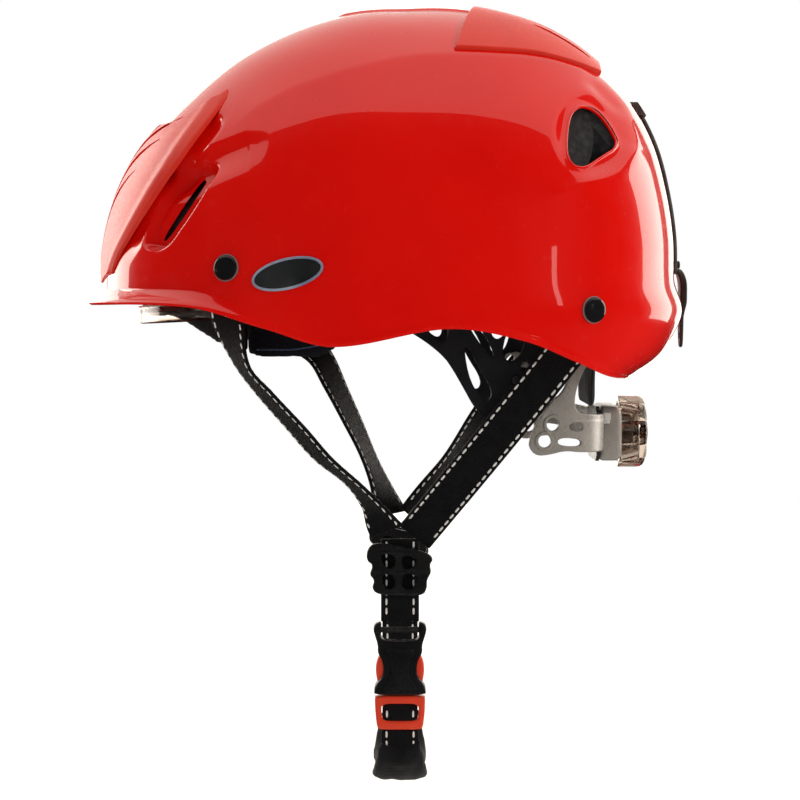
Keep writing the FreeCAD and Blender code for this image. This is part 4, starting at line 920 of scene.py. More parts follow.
def make_grille():
    """The front plate: a broad shield with two horns and nested leaf-shaped slots."""
    x, z = (np.array(column) for column in zip(*PLATE_EDGE))
    half = smooth([(4.0, 44.0)] + sorted(zip(z, -face_at(x, z)[:, 1])) + [(97.0, 56.0)])
    u, v = spread(70, 0.018), spread(84, 0.018)
    uu, vv = np.meshgrid(u, 2 * v - 1, indexing="ij")
    s = np.abs(vv)
    top = 84.0 - 2.0 * ease(s / 0.6) + 14.0 * np.clip((s - 0.62) / 0.38, 0, 1) ** 1.6
    low = 8.0 + 4.0 * ease((s - 0.5) / 0.5)
    z = low + (top - low) * uu
    y = vv * half(z)
    start = np.stack([-20 + 0 * y, y, z], -1)
    way = np.broadcast_to(np.array([-1.0, 0, 0]), start.shape)
    gap = np.minimum(np.minimum(uu, 1 - uu) * 82, (1 - s) * half(z))
    rib = 0.8 * np.exp(-((half(z) - np.abs(y) - 5.0) / 2.2) ** 2)
    proud = 1.6 - 0.7 * (1 - ease((z - 8) / 16)) - 0.7 * ease((z - 72) / 12) * (1 - ease((s - 0.7) / 0.2))
    return skin_patch("front_grille", (start, way, gap), 1.6, proud + rib)


grille = make_grille()
leaf_cutters = []
for low, high, bow, wide in LEAVES:
    shape = leaf(low, high, bow, wide)
    leaf_cutters.append(prism("cutter", shape, -170, -30, 0))
    leaf_cutters.append(prism("cutter", [(-y, z) for y, z in shape], -170, -30, 0))
cut(grille, leaf_cutters)
crisp(grille, 40)
finished(grille, SATIN_RED, "plate_red", "helmet", "front_vent_grille")


# ------------------------------------------------------------ foam liner

liner = bowl("liner", 300, 90, 44, -2.6, 18.0, lift=7.0)
notch_boxes = [(-86, -54, -50, 28, 88), (70, 110, -50, 16, 76), (80, 106, -50, -10, 48)]
cutters = []
for low_x, high_x, low_z, high_z, near in notch_boxes:
    outline = [(low_x, low_z), (high_x, low_z), (high_x, high_z), (low_x, high_z)]
    cutters += [prism("cutter", outline, near, near + 60), prism("cutter", outline, -near - 60, -near)]
small_vent = rounded([(92, 86), (99, 85), (106, 76), (108, 68), (98, 62), (91, 58.6), (94, 66),
                      (95.6, 76)], 2)
vent_floor = float(face_at(np.array([97.0]), np.array([73.0]), 1)[0, 1]) - 9.5
cutters += [prism("cutter", small_vent, vent_floor, 150), prism("cutter", small_vent, -150, -vent_floor)]
cut(liner, cutters)
crisp(liner, 40)
finished(liner, BEAD_FOAM, "foam_grey", "helmet", "foam_liner")


# ------------------------------------------------------------ rivets and badges

def lathe(profile):
    """Points and faces of a turned shape from (radius, height) pairs, closed at both ends."""
    sides = 48
    turn = np.linspace(0, 2 * math.pi, sides, endpoint=False)
    points = [(r * math.cos(a), r * math.sin(a), h) for r, h in profile for a in turn]
    faces = grid_faces(len(profile), sides, True)
    faces += [tuple(range(sides))[::-1], tuple(range((len(profile) - 1) * sides, len(profile) * sides))]
    return points, faces


def on_face(points, x, z, side, lift=0.0, tilt=0.0):
    """Carry local points to the shell's face: local z is outward and local x runs fore and aft."""
    spot = face_at(np.array([x]), np.array([z]), side)[0]
    normal = dome_normal(spot[None])[0]
    along = np.array([1.0, 0, 0]) - normal * normal[0]
    along /= np.linalg.norm(along)
    up = np.cross(normal, along)
    up = up if up[2] > 0 else -up
    c, s = math.cos(tilt), math.sin(tilt)
    p = np.asarray(points, float)
    return spot + np.outer(p[:, 0] * c - p[:, 1] * s, along) + np.outer(p[:, 0] * s + p[:, 1] * c, up) \
        + np.outer(p[:, 2] + lift, normal)


RIVET = [(0.01, -7.0), (1.9, -7.0), (2.0, -6.6), (2.0, 0.0), (5.4, 0.0), (5.6, 0.5), (5.55, 1.2),
         (5.2, 1.75), (4.3, 2.25),
         (2.8, 2.55), (1.3, 2.62), (0.9, 2.45), (0.5, 2.35), (0.01, 2.33)]
RIVET_COLLAR = [(5.5, 0.0), (6.0, 0.0), (6.05, 0.35), (5.85, 0.75), (5.6, 0.75), (5.5, 0.6)]


def ring(profile, sides=48):
    """Points and faces of a turned ring whose section is a closed loop."""
    turn = np.linspace(0, 2 * math.pi, sides, endpoint=False)
    points = [(r * math.cos(a), r * math.sin(a), h) for r, h in profile for a in turn]
    return points, ring_faces(len(profile), sides)


FRONT_RIVET, REAR_RIVET = (-68.8, 14.0), (92.8, -4.4)

for node, (x, z) in {"front_rivet": FRONT_RIVET, "rear_rivet": REAR_RIVET}.items():
    for side, hand in ((-1, "left"), (1, "right")):
        points, faces = lathe(RIVET)
        head = crisp(outward(make(f"{node}_head_{hand}", on_face(points, x, z, side, 0.25), faces)), 45)
        finished(head, RIVET_BLACK, "rivet_black", "helmet", f"{node}_{hand}")
        points, faces = ring(RIVET_COLLAR)
        collar = outward(make(f"{node}_collar_{hand}", on_face(points, x, z, side, 0.1), faces))
        finished(collar, RIVET_RING, "rivet_black", "helmet")


def make_badge(hand, side):
    """The oval badge: a flat textured field inside a rolled rim."""
    long, short, tilt = 16.6, 7.0, math.radians(12)
    turn = np.linspace(0, 2 * math.pi, 96, endpoint=False)
    profile = [(0.0, 0.8), (0.3, 0.8), (0.6, 0.75), (0.85, 0.7), (0.9, 0.7), (0.905, 0.3), (0.9, 0.1)]
    flat = [(f * (long - 0.2) * math.cos(a), f * (short - 0.2) * math.sin(a), 0.0)
            for f, _ in profile[1:] for a in turn]
    flat = [(0.0, 0.0, 0.0)] + flat
    heights = np.array([0.8] + [h for _, h in profile[1:] for _ in turn])
    spots = on_face(flat, -41.5, 11.3, side, 0.0, tilt)
    face = face_at(spots[:, 0], spots[:, 2], side, heights)
    faces = [(0, 1 + k, 1 + (k + 1) % 96) for k in range(96)] + grid_faces(6, 96, True, 1)
    faces += [tuple(1 + 5 * 96 + k for k in range(96))]
    field = crisp(outward(make("badge_field_" + hand, face, faces)), 40)
    finished(field, BADGE_FACE, "badge_black", "helmet", "badge_" + hand)
    loop = [(0.95 * (long - 0.1) * math.cos(a), 0.91 * (short - 0.1) * math.sin(a), 0.0) for a in turn]
    spots = on_face(loop, -41.5, 11.3, side, 0.0, tilt)
    rim = tube("badge_rim_" + hand, face_at(spots[:, 0], spots[:, 2], side, np.full(96, 0.45)), 0.62,
               True, 12)
    finished(rim, BADGE_RIM, "badge_black", "helmet")


make_badge("left", -1)
make_badge("right", 1)


# ------------------------------------------------------------ webbing

WEB = 18.0
WEB_THICK = 1.5
STITCH_PITCH = 4.5


def unit(v):
    return v / np.maximum(np.linalg.norm(v, axis=-1, keepdims=True), 1e-9)


def through(stations, count):
    """Smooth centre line, width direction and length along a list of (point, width direction)."""
    at = np.cumsum([0] + [math.dist(a[0], b[0]) for a, b in zip(stations, stations[1:])])
    t = np.linspace(0, at[-1], count)
    centre = np.stack([smooth(list(zip(at, [s[0][k] for s in stations])))(t) for k in range(3)], -1)
    wide = np.stack([smooth(list(zip(at, [s[1][k] for s in stations])))(t) for k in range(3)], -1)
    along = unit(np.gradient(centre, axis=0))
    wide = unit(wide - along * np.sum(wide * along, 1, keepdims=True))
    run = np.concatenate([[0], np.cumsum(np.linalg.norm(np.diff(centre, axis=0), axis=1))])
    return centre, wide, along, run


def band_section(width, thick):
    """Half-round edged section of a flat band as (across, up) pairs."""
    half, r, edge = width / 2, thick / 2, 4
    section = []
    for sign in (1, -1):
        for k in range(edge + 1):
            a = math.pi / 2 - math.pi * k / edge
            section.append((sign * (half - r + r * math.cos(a)), sign * r * math.sin(a)))
        for share in (0.5, 0.0, -0.5):
            section.append((sign * share * (half - r), -sign * r))
    return section


def sweep(name, stations, width=WEB, thick=WEB_THICK, count=120):
    """A flat band through its stations, with its weave laid out along it."""
    centre, wide, along, run = through(stations, count)
    normal = unit(np.cross(along, wide))
    section = band_section(width, thick)
    points, uv = [], []
    for c, w, n, length in zip(centre, wide, normal, run):
        for a, b in section:
            points.append(c + w * a + n * b)
            uv.append((a + 50, length))
    sides = len(section)
    band = outward(make(name, points, tube_faces(count, sides), uv))
    return band, (centre, wide, normal, along, run)


def capsule(long, wide, high):
    """A small rounded stitch along local x."""
    rings, sides = 5, 6
    points = []
    for k in range(rings):
        a = math.pi * k / (rings - 1)
        x = -long / 2 * math.cos(a)
        r = math.sqrt(max(1 - (2 * abs(x) / long) ** 4, 0.02))
        for s in range(sides):
            turn = 2 * math.pi * s / sides
            points.append((x, wide / 2 * r * math.cos(turn), high / 2 * r * math.sin(turn)))
    faces = grid_faces(rings, sides, True)
    faces += [tuple(range(sides))[::-1], tuple(range((rings - 1) * sides, rings * sides))]
    return np.array(points), faces


def stitches(name, line, width=WEB, thick=WEB_THICK, start=2.0, end=None, inset=1.7):
    """Two rows of lockstitch along a band, on both faces."""
    centre, wide, normal, along, run = line
    end = run[-1] - 2.0 if end is None else end
    shape, shape_faces = capsule(3.3, 1.05, 0.6)
    points, faces = [], []
    for position in np.arange(start + STITCH_PITCH / 2, end - STITCH_PITCH / 2, STITCH_PITCH):
        at = [np.array([np.interp(position, run, values[:, k]) for k in range(3)])
              for values in (centre, wide, normal, along)]
        c, w, n, a = at[0], unit(at[1]), unit(at[2]), unit(at[3])
        for row in (-1, 1):
            for face in (1, -1):
                base = c + w * row * (width / 2 - inset) + n * face * (thick / 2 + 0.02)
                faces += [tuple(len(points) + k for k in f) for f in shape_faces]
                points += list(base + shape[:, :1] * a + shape[:, 1:2] * w + shape[:, 2:] * n)
    return outward(make(name, points, faces))


def mirrored_stations(stations):
    return [((p[0], -p[1], p[2]), (w[0], -w[1], w[2])) for p, w in stations]


def rivet_station(x, z, side, up, inset):
    """The webbing lying against the inside of the shell, a little above or below a rivet."""
    ends = on_face([(0.0, up, -inset), (1.0, up, -inset)], x, z, side)
    return (tuple(ends[0]), tuple(ends[1] - ends[0]))


def turned_across(heading, turn):
    """Width direction on the left: 0 degrees shows the full width from the side, 90 shows the edge."""
    heading = unit(np.asarray(heading, float))
    level = unit(np.cross([0.0, 1.0, 0.0], heading))
    level = level if level[0] > 0 else -level
    outward = np.cross(heading, level)
    outward = outward if outward[1] < 0 else -outward
    return level * math.cos(math.radians(turn)) + outward * math.sin(math.radians(turn))


def hung_strap(rivet, insets, path, side):
    """Stations from a rivet down a path whose rows are x, distance from the middle plane, z and turn."""
    stations = [rivet_station(*rivet, -1, up, inset) for up, inset in zip((9.0, -5.0), insets)]
    points = [stations[-1][0]] + [(x, -away, z) for x, away, z, turn in path]
    for k, (x, away, z, turn) in enumerate(path):
        after = points[min(k + 2, len(path))]
        stations.append((points[k + 1], tuple(turned_across(np.subtract(after, points[k]), turn))))
    return stations if side < 0 else mirrored_stations(stations)


STRAPS = {
    "front_strap_left": (FRONT_RIVET, (3.8, 4.4), [
        (-69.5, 89.5, -6.5, 30.0), (-64.1, 81.5, -28.2, 66.0), (-54.5, 74.5, -41.5, 67.0),
        (-40.1, 65.5, -58.6, 64.0),
        (-28.1, 58.0, -73.1, 66.0), (-14.0, 51.0, -85.8, 70.0), (-4.5, 45.0, -97.6, 55.0),
        (1.2, 39.8, -108.6, 22.0)], -1),
    "front_strap_right": (FRONT_RIVET, (3.8, 4.4), [
        (-60.5, 91.0, -6.0, 10.0), (-46.0, 87.5, -19.0, 20.0), (-34.3, 82.0, -31.0, 48.0),
        (-26.6, 74.5, -45.5, 55.0),
        (-17.5, 64.0, -63.0, 62.0), (-8.5, 54.0, -81.5, 68.0), (-1.5, 45.5, -97.0, 55.0),
        (2.2, 39.8, -108.8, 22.0)], 1),
    "rear_strap_left": (REAR_RIVET, (4.2, 4.8), [
        (79.0, 82.0, -26.0, 6.0), (54.2, 69.6, -58.6, 4.0), (34.0, 53.2, -85.4, 2.0),
        (14.2, 36.9, -111.5, 0.0)], -1),
    "rear_strap_right": (REAR_RIVET, (4.2, 4.8), [
        (79.0, 82.4, -26.0, 8.0), (54.2, 72.6, -58.6, 18.0), (33.0, 56.0, -86.0, 45.0),
        (14.2, 38.0, -111.0, 12.0)], 1),
}

for node, (rivet, insets, path, side) in STRAPS.items():
    band, line = sweep(node + "_web", hung_strap(rivet, insets, path, side), count=160)
    finished(band, WEBBING, "webbing", "helmet", node)
    finished(stitches(node + "_stitching", line, start=16.0), THREAD, "webbing", "helmet")

CHIN_X = 7.3
SIDE_Y = 36.5
MOUTH = -186.5

upper_path = [((CHIN_X, -SIDE_Y, z), (1, 0, 0)) for z in (-112.6, -126, -140, -151.7)]
upper, line = sweep("upper_web", upper_path, count=40)
finished(upper, WEBBING, "webbing", "helmet", "upper_chin_strap")
finished(stitches("upper_web_stitching", line, start=0.5, inset=2.6), THREAD, "webbing", "helmet")


def bend_points(side, low, radius, top_near, top_far, step=6.0):
    """The U of the chin webbing in the middle plane of the webbing."""
    points = [(-side, z) for z in np.arange(top_near, low + radius, -step)]
    for k in range(0, 9):
        a = math.pi / 2 * k / 8
        points.append((-side + radius * (1 - math.cos(a)), low + radius * (1 - math.sin(a))))
    points.append((0.0, low))
    for k in range(8, -1, -1):
        a = math.pi / 2 * k / 8
        points.append((side - radius * (1 - math.cos(a)), low + radius * (1 - math.sin(a))))
    points += [(side, z) for z in np.arange(low + radius + step, top_far, step)] + [(side, top_far)]
    return points


chin_path = bend_points(SIDE_Y, -229.0, 23.0, -203.3, -117.8)
chin, line = sweep("chin_web", [((CHIN_X, y, z), (1, 0, 0)) for y, z in chin_path], count=220)
finished(chin, WEBBING, "webbing", "chin_loop", "chin_webbing")
finished(stitches("chin_web_stitching", line, start=0.0, inset=2.6), THREAD, "webbing", "chin_loop")


# ------------------------------------------------------------ yokes and buckle

YOKE = rounded([(-15.8, 8.8), (-13.6, 12.2), (-9.8, 12.9), (-2, 11.9), (6, 10.0), (13.6, 8.0),
                (15.8, 5.0), (13.9, 2.6),
                (14.9, -1.0), (12.6, -4.6), (12.8, -8.4), (10.8, -12.2), (0, -12.0), (-10.8, -11.6),
                (-13.4, -8.4),
                (-11.9, -4.8), (-14.6, -2.2), (-12.6, 2.4), (-15.6, 4.2)], 2)
YOKE_WINDOWS = [rounded(w, 2) for w in (
    [(-9.4, 8.0), (-2.4, 7.2), (-2.2, 2.4), (-4.6, 0.8), (-8.0, 2.0)],
    [(1.0, 7.0), (8.2, 5.8), (7.4, 2.4), (4.6, 0.6), (0.8, 1.0)],
    [(-8.6, -1.6), (-2.6, -2.2), (-2.2, -8.6), (-7.8, -8.8)],
    [(1.2, -1.8), (7.4, -1.6), (7.2, -8.6), (0.8, -9.2)])]

YOKE_POST = [(9.9, 7.6), (13.6, 7.0), (11.6, -1), (11.9, -9.6), (9.9, -9.8)]
back_face = SIDE_Y - 0.4 - WEB_THICK / 2 - 2.2
for hand in ("left", "right"):
    front_wall = plate("yoke_front", YOKE, YOKE_WINDOWS, 2.6, 1.0)
    place(front_wall, lambda p: facing_left(CHIN_X, back_face + 2.2 + 2.9, -127.0)(
        np.stack([p[:, 0], p[:, 1], p[:, 2] + 0.5 - 0.0045 * p[:, 0] ** 2], -1)))
    back_wall = plate("yoke_back", [(x * 0.94, y * 0.95) for x, y in YOKE], YOKE_WINDOWS, 2.1, 0.7)
    place(back_wall, facing_left(CHIN_X, back_face, -127.0))
    posts = []
    for sign in (-1, 1):
        foot = [(sign * x, y) for x, y in YOKE_POST]
        post = plate("yoke_post", rounded(foot, 1), [], 5.6, 0.4)
        posts.append(place(post, facing_left(CHIN_X, back_face + 0.8, -127.0)))
    yoke = joined("yoke_" + hand + "_body_piece", [front_wall, back_wall] + posts)
    if hand == "right":
        other = flipped(yoke, "yoke_ladder_right")
        bpy.data.objects.remove(yoke)
        yoke = other
    else:
        yoke.name = "yoke_ladder_left"
    finished(crisp(yoke, 40), BLACK_PLASTIC, "black_plastic", f"yoke_{hand}_body", f"yoke_{hand}")


def both_sides(points):
    """A closed outline from its right half, listed upward."""
    return points + [(-x, y) for x, y in reversed(points)]


SOCKET = both_sides([(12.0, 0.0), (12.3, 2.2), (11.6, 5.4), (8.6, 8.6), (7.7, 12.0), (8.4, 16.6),
                     (10.6, 20.2),
                     (10.4, 24.0), (12.0, 28.6), (12.7, 31.8), (11.6, 34.3), (8.6, 34.5), (8.9, 31.0),
                     (8.9, 26.4),
                     (3.0, 25.8)])
socket = plate("socket_body", rounded(SOCKET, 2), [], 9.0, 1.7, segments=4)
place(socket, lambda p: facing_left(CHIN_X, SIDE_Y - 4.5, MOUTH)(
    np.stack([p[:, 0], p[:, 1], 4.5 + (p[:, 2] - 4.5) * (1.0 - 0.22 * ease((p[:, 1] - 22) / 8))], -1)))
bar = tube("socket_bar", [(CHIN_X + x, -SIDE_Y - 1.6 + 0.004 * x * x, MOUTH + 31.0)
                          for x in np.linspace(-10.5, 10.5, 15)], 1.35)
RIB = both_sides([(8.2, 2.2), (7.2, 5.0), (4.6, 9.0), (4.0, 12.6), (4.6, 17.0), (6.6, 20.6), (6.4, 22.6)])
rib = plate("socket_rib", rounded(RIB, 2), [], 0.9, 0.4)
place(rib, facing_left(CHIN_X, SIDE_Y + 4.2, MOUTH))
socket = joined("buckle_socket_body", [socket, bar, rib])
finished(crisp(socket, 40), BLACK_PLASTIC, "black_plastic", "helmet", "buckle_socket")

PLUG = rounded(both_sides([(9.4, -16.5), (10.9, -15.2), (11.7, -8.0), (11.9, -3.0), (11.8, -0.35)]), 1,
               0.18)
plug_window = rounded([(-8.6, -12.2), (8.6, -12.2), (9.0, -4.2), (-9.0, -4.2)], 2, 0.15)
plug = plate("plug_frame", PLUG, [plug_window], 6.6, 1.3)
place(plug, facing_left(CHIN_X, SIDE_Y - 3.3, MOUTH))
rail = plate("plug_rail", [(-2.4, -2), (2.4, -2), (1.8, 20), (-1.8, 20)], [], 3.2, 0.5)
place(rail, facing_left(CHIN_X, SIDE_Y - 1.6, MOUTH))
plug = joined("buckle_plug_frame", [plug, rail])
finished(crisp(plug, 40), BUCKLE_RED, "buckle_red", "chin_loop", "buckle_plug")
wrap = [((CHIN_X, -SIDE_Y + out, MOUTH - down), (1, 0, 0))
        for out, down in ((2.6, 16.6), (-1.2, 14.0), (-1.9, 9.0), (-0.4, 4.6))]
turned, line = sweep("plug_web", wrap, 16.4, 1.4, 30)
finished(turned, WEBBING, "webbing", "chin_loop")
finished(stitches("plug_web_stitching", line, 16.4, 1.4, start=3.0, end=16.0, inset=2.0), THREAD,
         "webbing", "chin_loop")

PRONG = [(4.2, 0.4), (9.8, 0.4), (10.0, 4.0), (11.0, 7.6), (11.5, 11.6), (11.2, 15.8), (9.6, 19.8),
         (6.8, 21.4),
         (5.4, 18.0), (5.6, 8.0)]
for node, side in (("prong_front", -1), ("prong_rear", 1)):
    prong = plate(node + "_press", rounded([(side * x, y) for x, y in PRONG], 2), [], 5.4, 1.4)
    place(prong, facing_left(CHIN_X, SIDE_Y - 2.7, MOUTH))
    finished(prong, BUCKLE_RED, "buckle_red", node + "_body", node)


# ------------------------------------------------------------ cradle

BACK, BEND = 104.0, 32.0
TOP_SIDE, LOW_SIDE, TOP_Z, LOW_Z = 72.0, 58.0, 14.0, -82.0


def cradle_bend(base):
    """Wrap a plate in (run, level) onto the cradle's leaning wall: local z is outward from its inner face."""
    def wrap(p):
        run, level, out = p[:, 0], p[:, 1], p[:, 2] + base
        side = TOP_SIDE + (LOW_SIDE - TOP_SIDE) * (TOP_Z - level) / (TOP_Z - LOW_Z)
        turn = np.clip((run - (BACK - BEND)) / BEND, 0, math.pi / 2)
        radius = BEND + out
        x = np.where(run < BACK - BEND, run, BACK - BEND + radius * np.sin(turn))
        y = -(side - BEND) - radius * np.cos(turn)
        past = np.maximum(run - (BACK - BEND) - BEND * math.pi / 2, 0)
        return np.stack([x, y + past, level], -1)
    return wrap


SKELETON = [(10, -13.5), (19, -19), (27.5, -26), (34, -35), (39.5, -44.5), (45.5, -55.5), (48.5, -58),
            (50.6, -55),
            (57, -46), (64.5, -39.5), (67.5, -32), (73, -25), (75, -14), (71, -5), (60, -2), (40, 7),
            (28, 10.4), (19, 7), (9, -4)]
WINDOWS = [
    [(19.6, -14.0), (21, -6), (28, -5), (29.3, -16.2), (27.5, -19.4), (24.4, -18.4)],
    [(36.2, -21.6), (38.6, -21.2), (41.5, -28.5), (50, -41.8), (46.6, -47.8), (39.2, -37.5)],
    [(36, -8.6), (42, -10), (50, -23.6), (49, -27.6)],
    [(46.5, -8.6), (56.5, -9.2), (55, -16), (49.8, -18.6)],
    [(58, -8.6), (65.5, -10), (63, -24), (57.4, -29), (53, -24)],
]
PEG_HOLES = [(60.2, -36.6), (64.4, -30.2)]


def circle(x, y, radius, count=16):
    return [(x + radius * math.cos(2 * math.pi * k / count), y + radius * math.sin(2 * math.pi * k / count))
            for k in range(count)]


ARM = [(66.6, -63.2), (66.4, -68.0), (70.0, -71.8), (76.5, -71.2), (84, -69.4), (94, -70.8), (126.4, -71.3),
       (126.4, -54.2), (98, -53.0), (90.6, -51.8), (88.6, -48.5), (89.2, -42), (92.6, -34), (97.5, -28.6),
       (96.5, -25),
       (90.6, -24.2), (86.5, -33), (82.5, -42), (77, -46), (71, -54.5)]
ARM_WINDOWS = [[(86.0, -56.4), (94.0, -56.4), (94.2, -60.6), (85.6, -60.4)],
               [(80.5, -63.2), (93, -64.2), (93.4, -67.8), (80, -67.0)]]
ARM_HOLES = [circle(77.5, -57.0, 3.0), circle(73.8, -64.8, 3.0)]
LINK = [(57, -38), (60, -32.5), (65, -27), (70, -26.5), (78, -40), (79, -46), (74, -52), (66, -57),
        (59, -47)]

for hand in ("left", "right"):
    side_arm = plate("side_arm", rounded(SKELETON, 2),
                     [rounded(w, 2) for w in WINDOWS] + [circle(28, 2, 2.5)]
                     + [circle(x, z, 2.2) for x, z in PEG_HOLES], 2.2, 0.7,
                     [(0, 8, 80, 5.0), (1, -58, 10, 6.0)])
    place(side_arm, cradle_bend(0.0))
    nape_arm = plate("nape_arm", rounded(ARM, 2), [rounded(w, 2) for w in ARM_WINDOWS] + ARM_HOLES, 2.2,
                     0.7,
                     [(0, 60, 127, 2.5), (1, -72, -24, 6.0)])
    place(nape_arm, cradle_bend(-2.4))
    boss = [place(plate("boss", circle(x, z, 4.4, 28), [circle(x, z, 3.0, 28)], 0.9, 0.35),
                  cradle_bend(-0.5))
            for x, z in ((77.5, -57.0), (73.8, -64.8))]
    link = plate("link", rounded(LINK, 2), [circle(x, z, 2.2) for x, z in PEG_HOLES], 2.2, 0.6,
                 [(0, 56, 80, 3.0)])
    place(link, cradle_bend(-2.4))
    arm = joined("nape_arm_piece", [nape_arm, link] + boss)
    pieces = [(side_arm, "side_arm_" + hand, CRADLE_BLACK, "cradle_black", "cradle_side_" + hand),
              (arm, "grey_arm_" + hand, ARM_GREY, "arm_grey", "nape_arm_" + hand)]
    for piece, name, material, slot, node in pieces:
        if hand == "right":
            other = flipped(piece, name)
            bpy.data.objects.remove(piece)
            piece = other
        piece.name = name
        finished(crisp(piece, 45), material, slot, "cradle", node)


# ------------------------------------------------------------ ratchet and knob

KNOB_Z = -64.0
HOUSING_X = 101.0


def to_rear(x):
    """Local x is across, local y is up, and local z points to the rear."""
    return lambda p: np.stack([x + p[:, 2], p[:, 0], KNOB_Z + p[:, 1]], -1)


block = rounded([(-24, -10.4), (-19, -13.5), (19, -13.5), (24, -10.4), (24, 10.4), (19, 13.5),
                 (-19, 13.5), (-24, 10.4)], 2, 0.2)
case = plate("ratchet_case", block, [], 10.2, 2.6, segments=5)
place(case, to_rear(HOUSING_X + 1.8))
ridges = []
for k in range(5):
    for sign in (1, -1):
        near, far = sign * (10.2 + 2.7 * k), sign * (11.5 + 2.7 * k)
        ridge = plate("ridge", rounded([(near, -9.5), (far, -9.5), (far, 9.5), (near, 9.5)], 1), [], 0.8,
                      0.35)
        ridges.append(place(ridge, to_rear(HOUSING_X + 11.5)))
case = joined("ratchet_case_body", [case] + ridges)
finished(crisp(case, 40), ARM_GREY, "arm_grey", "cradle", "ratchet_housing")

KNOB_START = HOUSING_X + 12.4


def knob_radius(turn, radius):
    """Radius of the knob's rim with its eight finger scallops."""
    lobe = np.abs(np.cos(4 * turn)) ** 0.7
    return radius * (1 - 0.115 * (1 - lobe))


def make_knob():
    sides = 192
    turn = np.linspace(0, 2 * math.pi, sides, endpoint=False)
    profile = [(17.0, 0.0, 1), (17.4, 0.5, 1), (17.4, 8.6, 1), (17.2, 10.6, 1), (16.4, 12.0, 1),
               (15.0, 12.9, 1),
               (12.6, 13.0, 0.5), (10.6, 12.4, 0), (8.2, 12.0, 0), (6.4, 12.3, 0), (5.2, 12.95, 0),
               (2.2, 13.0, 0),
               (2.05, 12.7, 0), (2.05, 0.3, 0), (2.3, 0.0, 0), (5.0, 0.0, 0), (5.0, 8.9, 0), (5.6, 9.5, 0),
               (11.6, 9.5, 0.3), (12.6, 8.9, 0.8), (14.6, 0.3, 1), (15.0, 0.0, 1)]
    points = []
    for radius, height, lobed in profile:
        r = radius * (1 - lobed) + knob_radius(turn, radius) * lobed
        points += list(np.stack([r * np.cos(turn), r * np.sin(turn), np.full(sides, height)], -1))
    faces = ring_faces(len(profile), sides)
    obj = outward(make("knob_shell", to_rear(KNOB_START)(np.array(points)), faces))
    return crisp(obj, 35)


finished(make_knob(), SMOKY, "smoky_plastic", "knob", "ratchet_knob")
points, faces = ring([(5.4, 0.4), (9.6, 0.4), (9.9, 0.9), (9.9, 6.4), (9.4, 7.0), (5.9, 7.0), (5.4, 6.4)],
                     64)
hub = outward(make("knob_hub", to_rear(KNOB_START)(np.array(points)), faces))
finished(crisp(hub, 35), ARM_GREY, "smoky_plastic", "knob")
points, faces = ring([(10.6, 0.2), (12.2, 0.2), (12.4, 0.6), (12.2, 1.8), (10.9, 2.0), (10.6, 1.6)], 64)
band = outward(make("knob_band", to_rear(KNOB_START)(np.array(points)), faces))
finished(crisp(band, 35), BRONZE, "bronze_plastic", "knob")


# ------------------------------------------------------------ padded pieces

PUFF_PRESSURE = 4.0
PUFF_FRAMES = 20


def puffed(obj, voxel, cap):
    """Remesh a pad and let cloth simulation swell it, by no more than cap at any point."""
    remesh = obj.modifiers.new("voxels", "REMESH")
    remesh.mode = "VOXEL"
    remesh.voxel_size = voxel * MM
    baked(obj)
    mesh = obj.data
    rest = np.zeros(len(mesh.vertices) * 3)
    mesh.vertices.foreach_get("co", rest)
    cloth = obj.modifiers.new("cloth", "CLOTH")
    cloth.settings.use_pressure = True
    cloth.settings.uniform_pressure_force = PUFF_PRESSURE
    cloth.settings.effector_weights.gravity = 0
    cloth.settings.quality = 4
    cloth.settings.tension_stiffness = 25
    cloth.settings.compression_stiffness = 25
    cloth.collision_settings.use_collision = False
    scene = bpy.context.scene
    cloth.point_cache.frame_start = 1
    cloth.point_cache.frame_end = PUFF_FRAMES
    for number in range(1, PUFF_FRAMES + 1):
        scene.frame_set(number)
    baked(obj)
    scene.frame_set(1)
    mesh = obj.data
    now = np.zeros(len(mesh.vertices) * 3)
    mesh.vertices.foreach_get("co", now)
    move = (now - rest).reshape(-1, 3)
    length = np.linalg.norm(move, axis=1, keepdims=True)
    limit = cap * MM
    move *= np.minimum(1, limit / np.maximum(length, 1e-9))
    mesh.vertices.foreach_set("co", (rest.reshape(-1, 3) + move).ravel())
    mesh.update()
    refine = obj.modifiers.new("smoother", "SUBSURF")
    refine.levels = 1
    refine.render_levels = 1
    baked(obj)
    mesh = obj.data
    mesh.polygons.foreach_set("use_smooth", [True] * len(mesh.polygons))
    return obj


def pillow(name, rows, thickness):
    """A closed pad: rows holds its middle face and outward normals, and thickness is given at each point."""
    middle, normal = rows
    r, c = middle.shape[:2]
    half = (np.asarray(thickness) / 2)[..., None]
    points = np.concatenate([(middle + normal * half).reshape(-1, 3),
                             (middle - normal * half).reshape(-1, 3)])
    return outward(make(name, points, sealed_faces(r, c)))


def pad_height(u, v, thick, border):
    """Full in the middle and thin at the border."""
    edge = np.minimum(np.minimum(u, 1 - u) / border[0], np.minimum(v, 1 - v) / border[1])
    return thick * (0.35 + 0.65 * np.sqrt(np.clip(1 - (1 - np.clip(edge, 0, 1)) ** 2, 0, 1)))


def brow_line(turn, inset):
    """The brow's ellipse, then straight back: turn runs from the left side over the front to the right."""
    front, half, start = 110.0 - inset, 82.0 - inset, -10.0
    x = start - front * np.cos(turn)
    y = half * np.sin(turn)
    return x, y


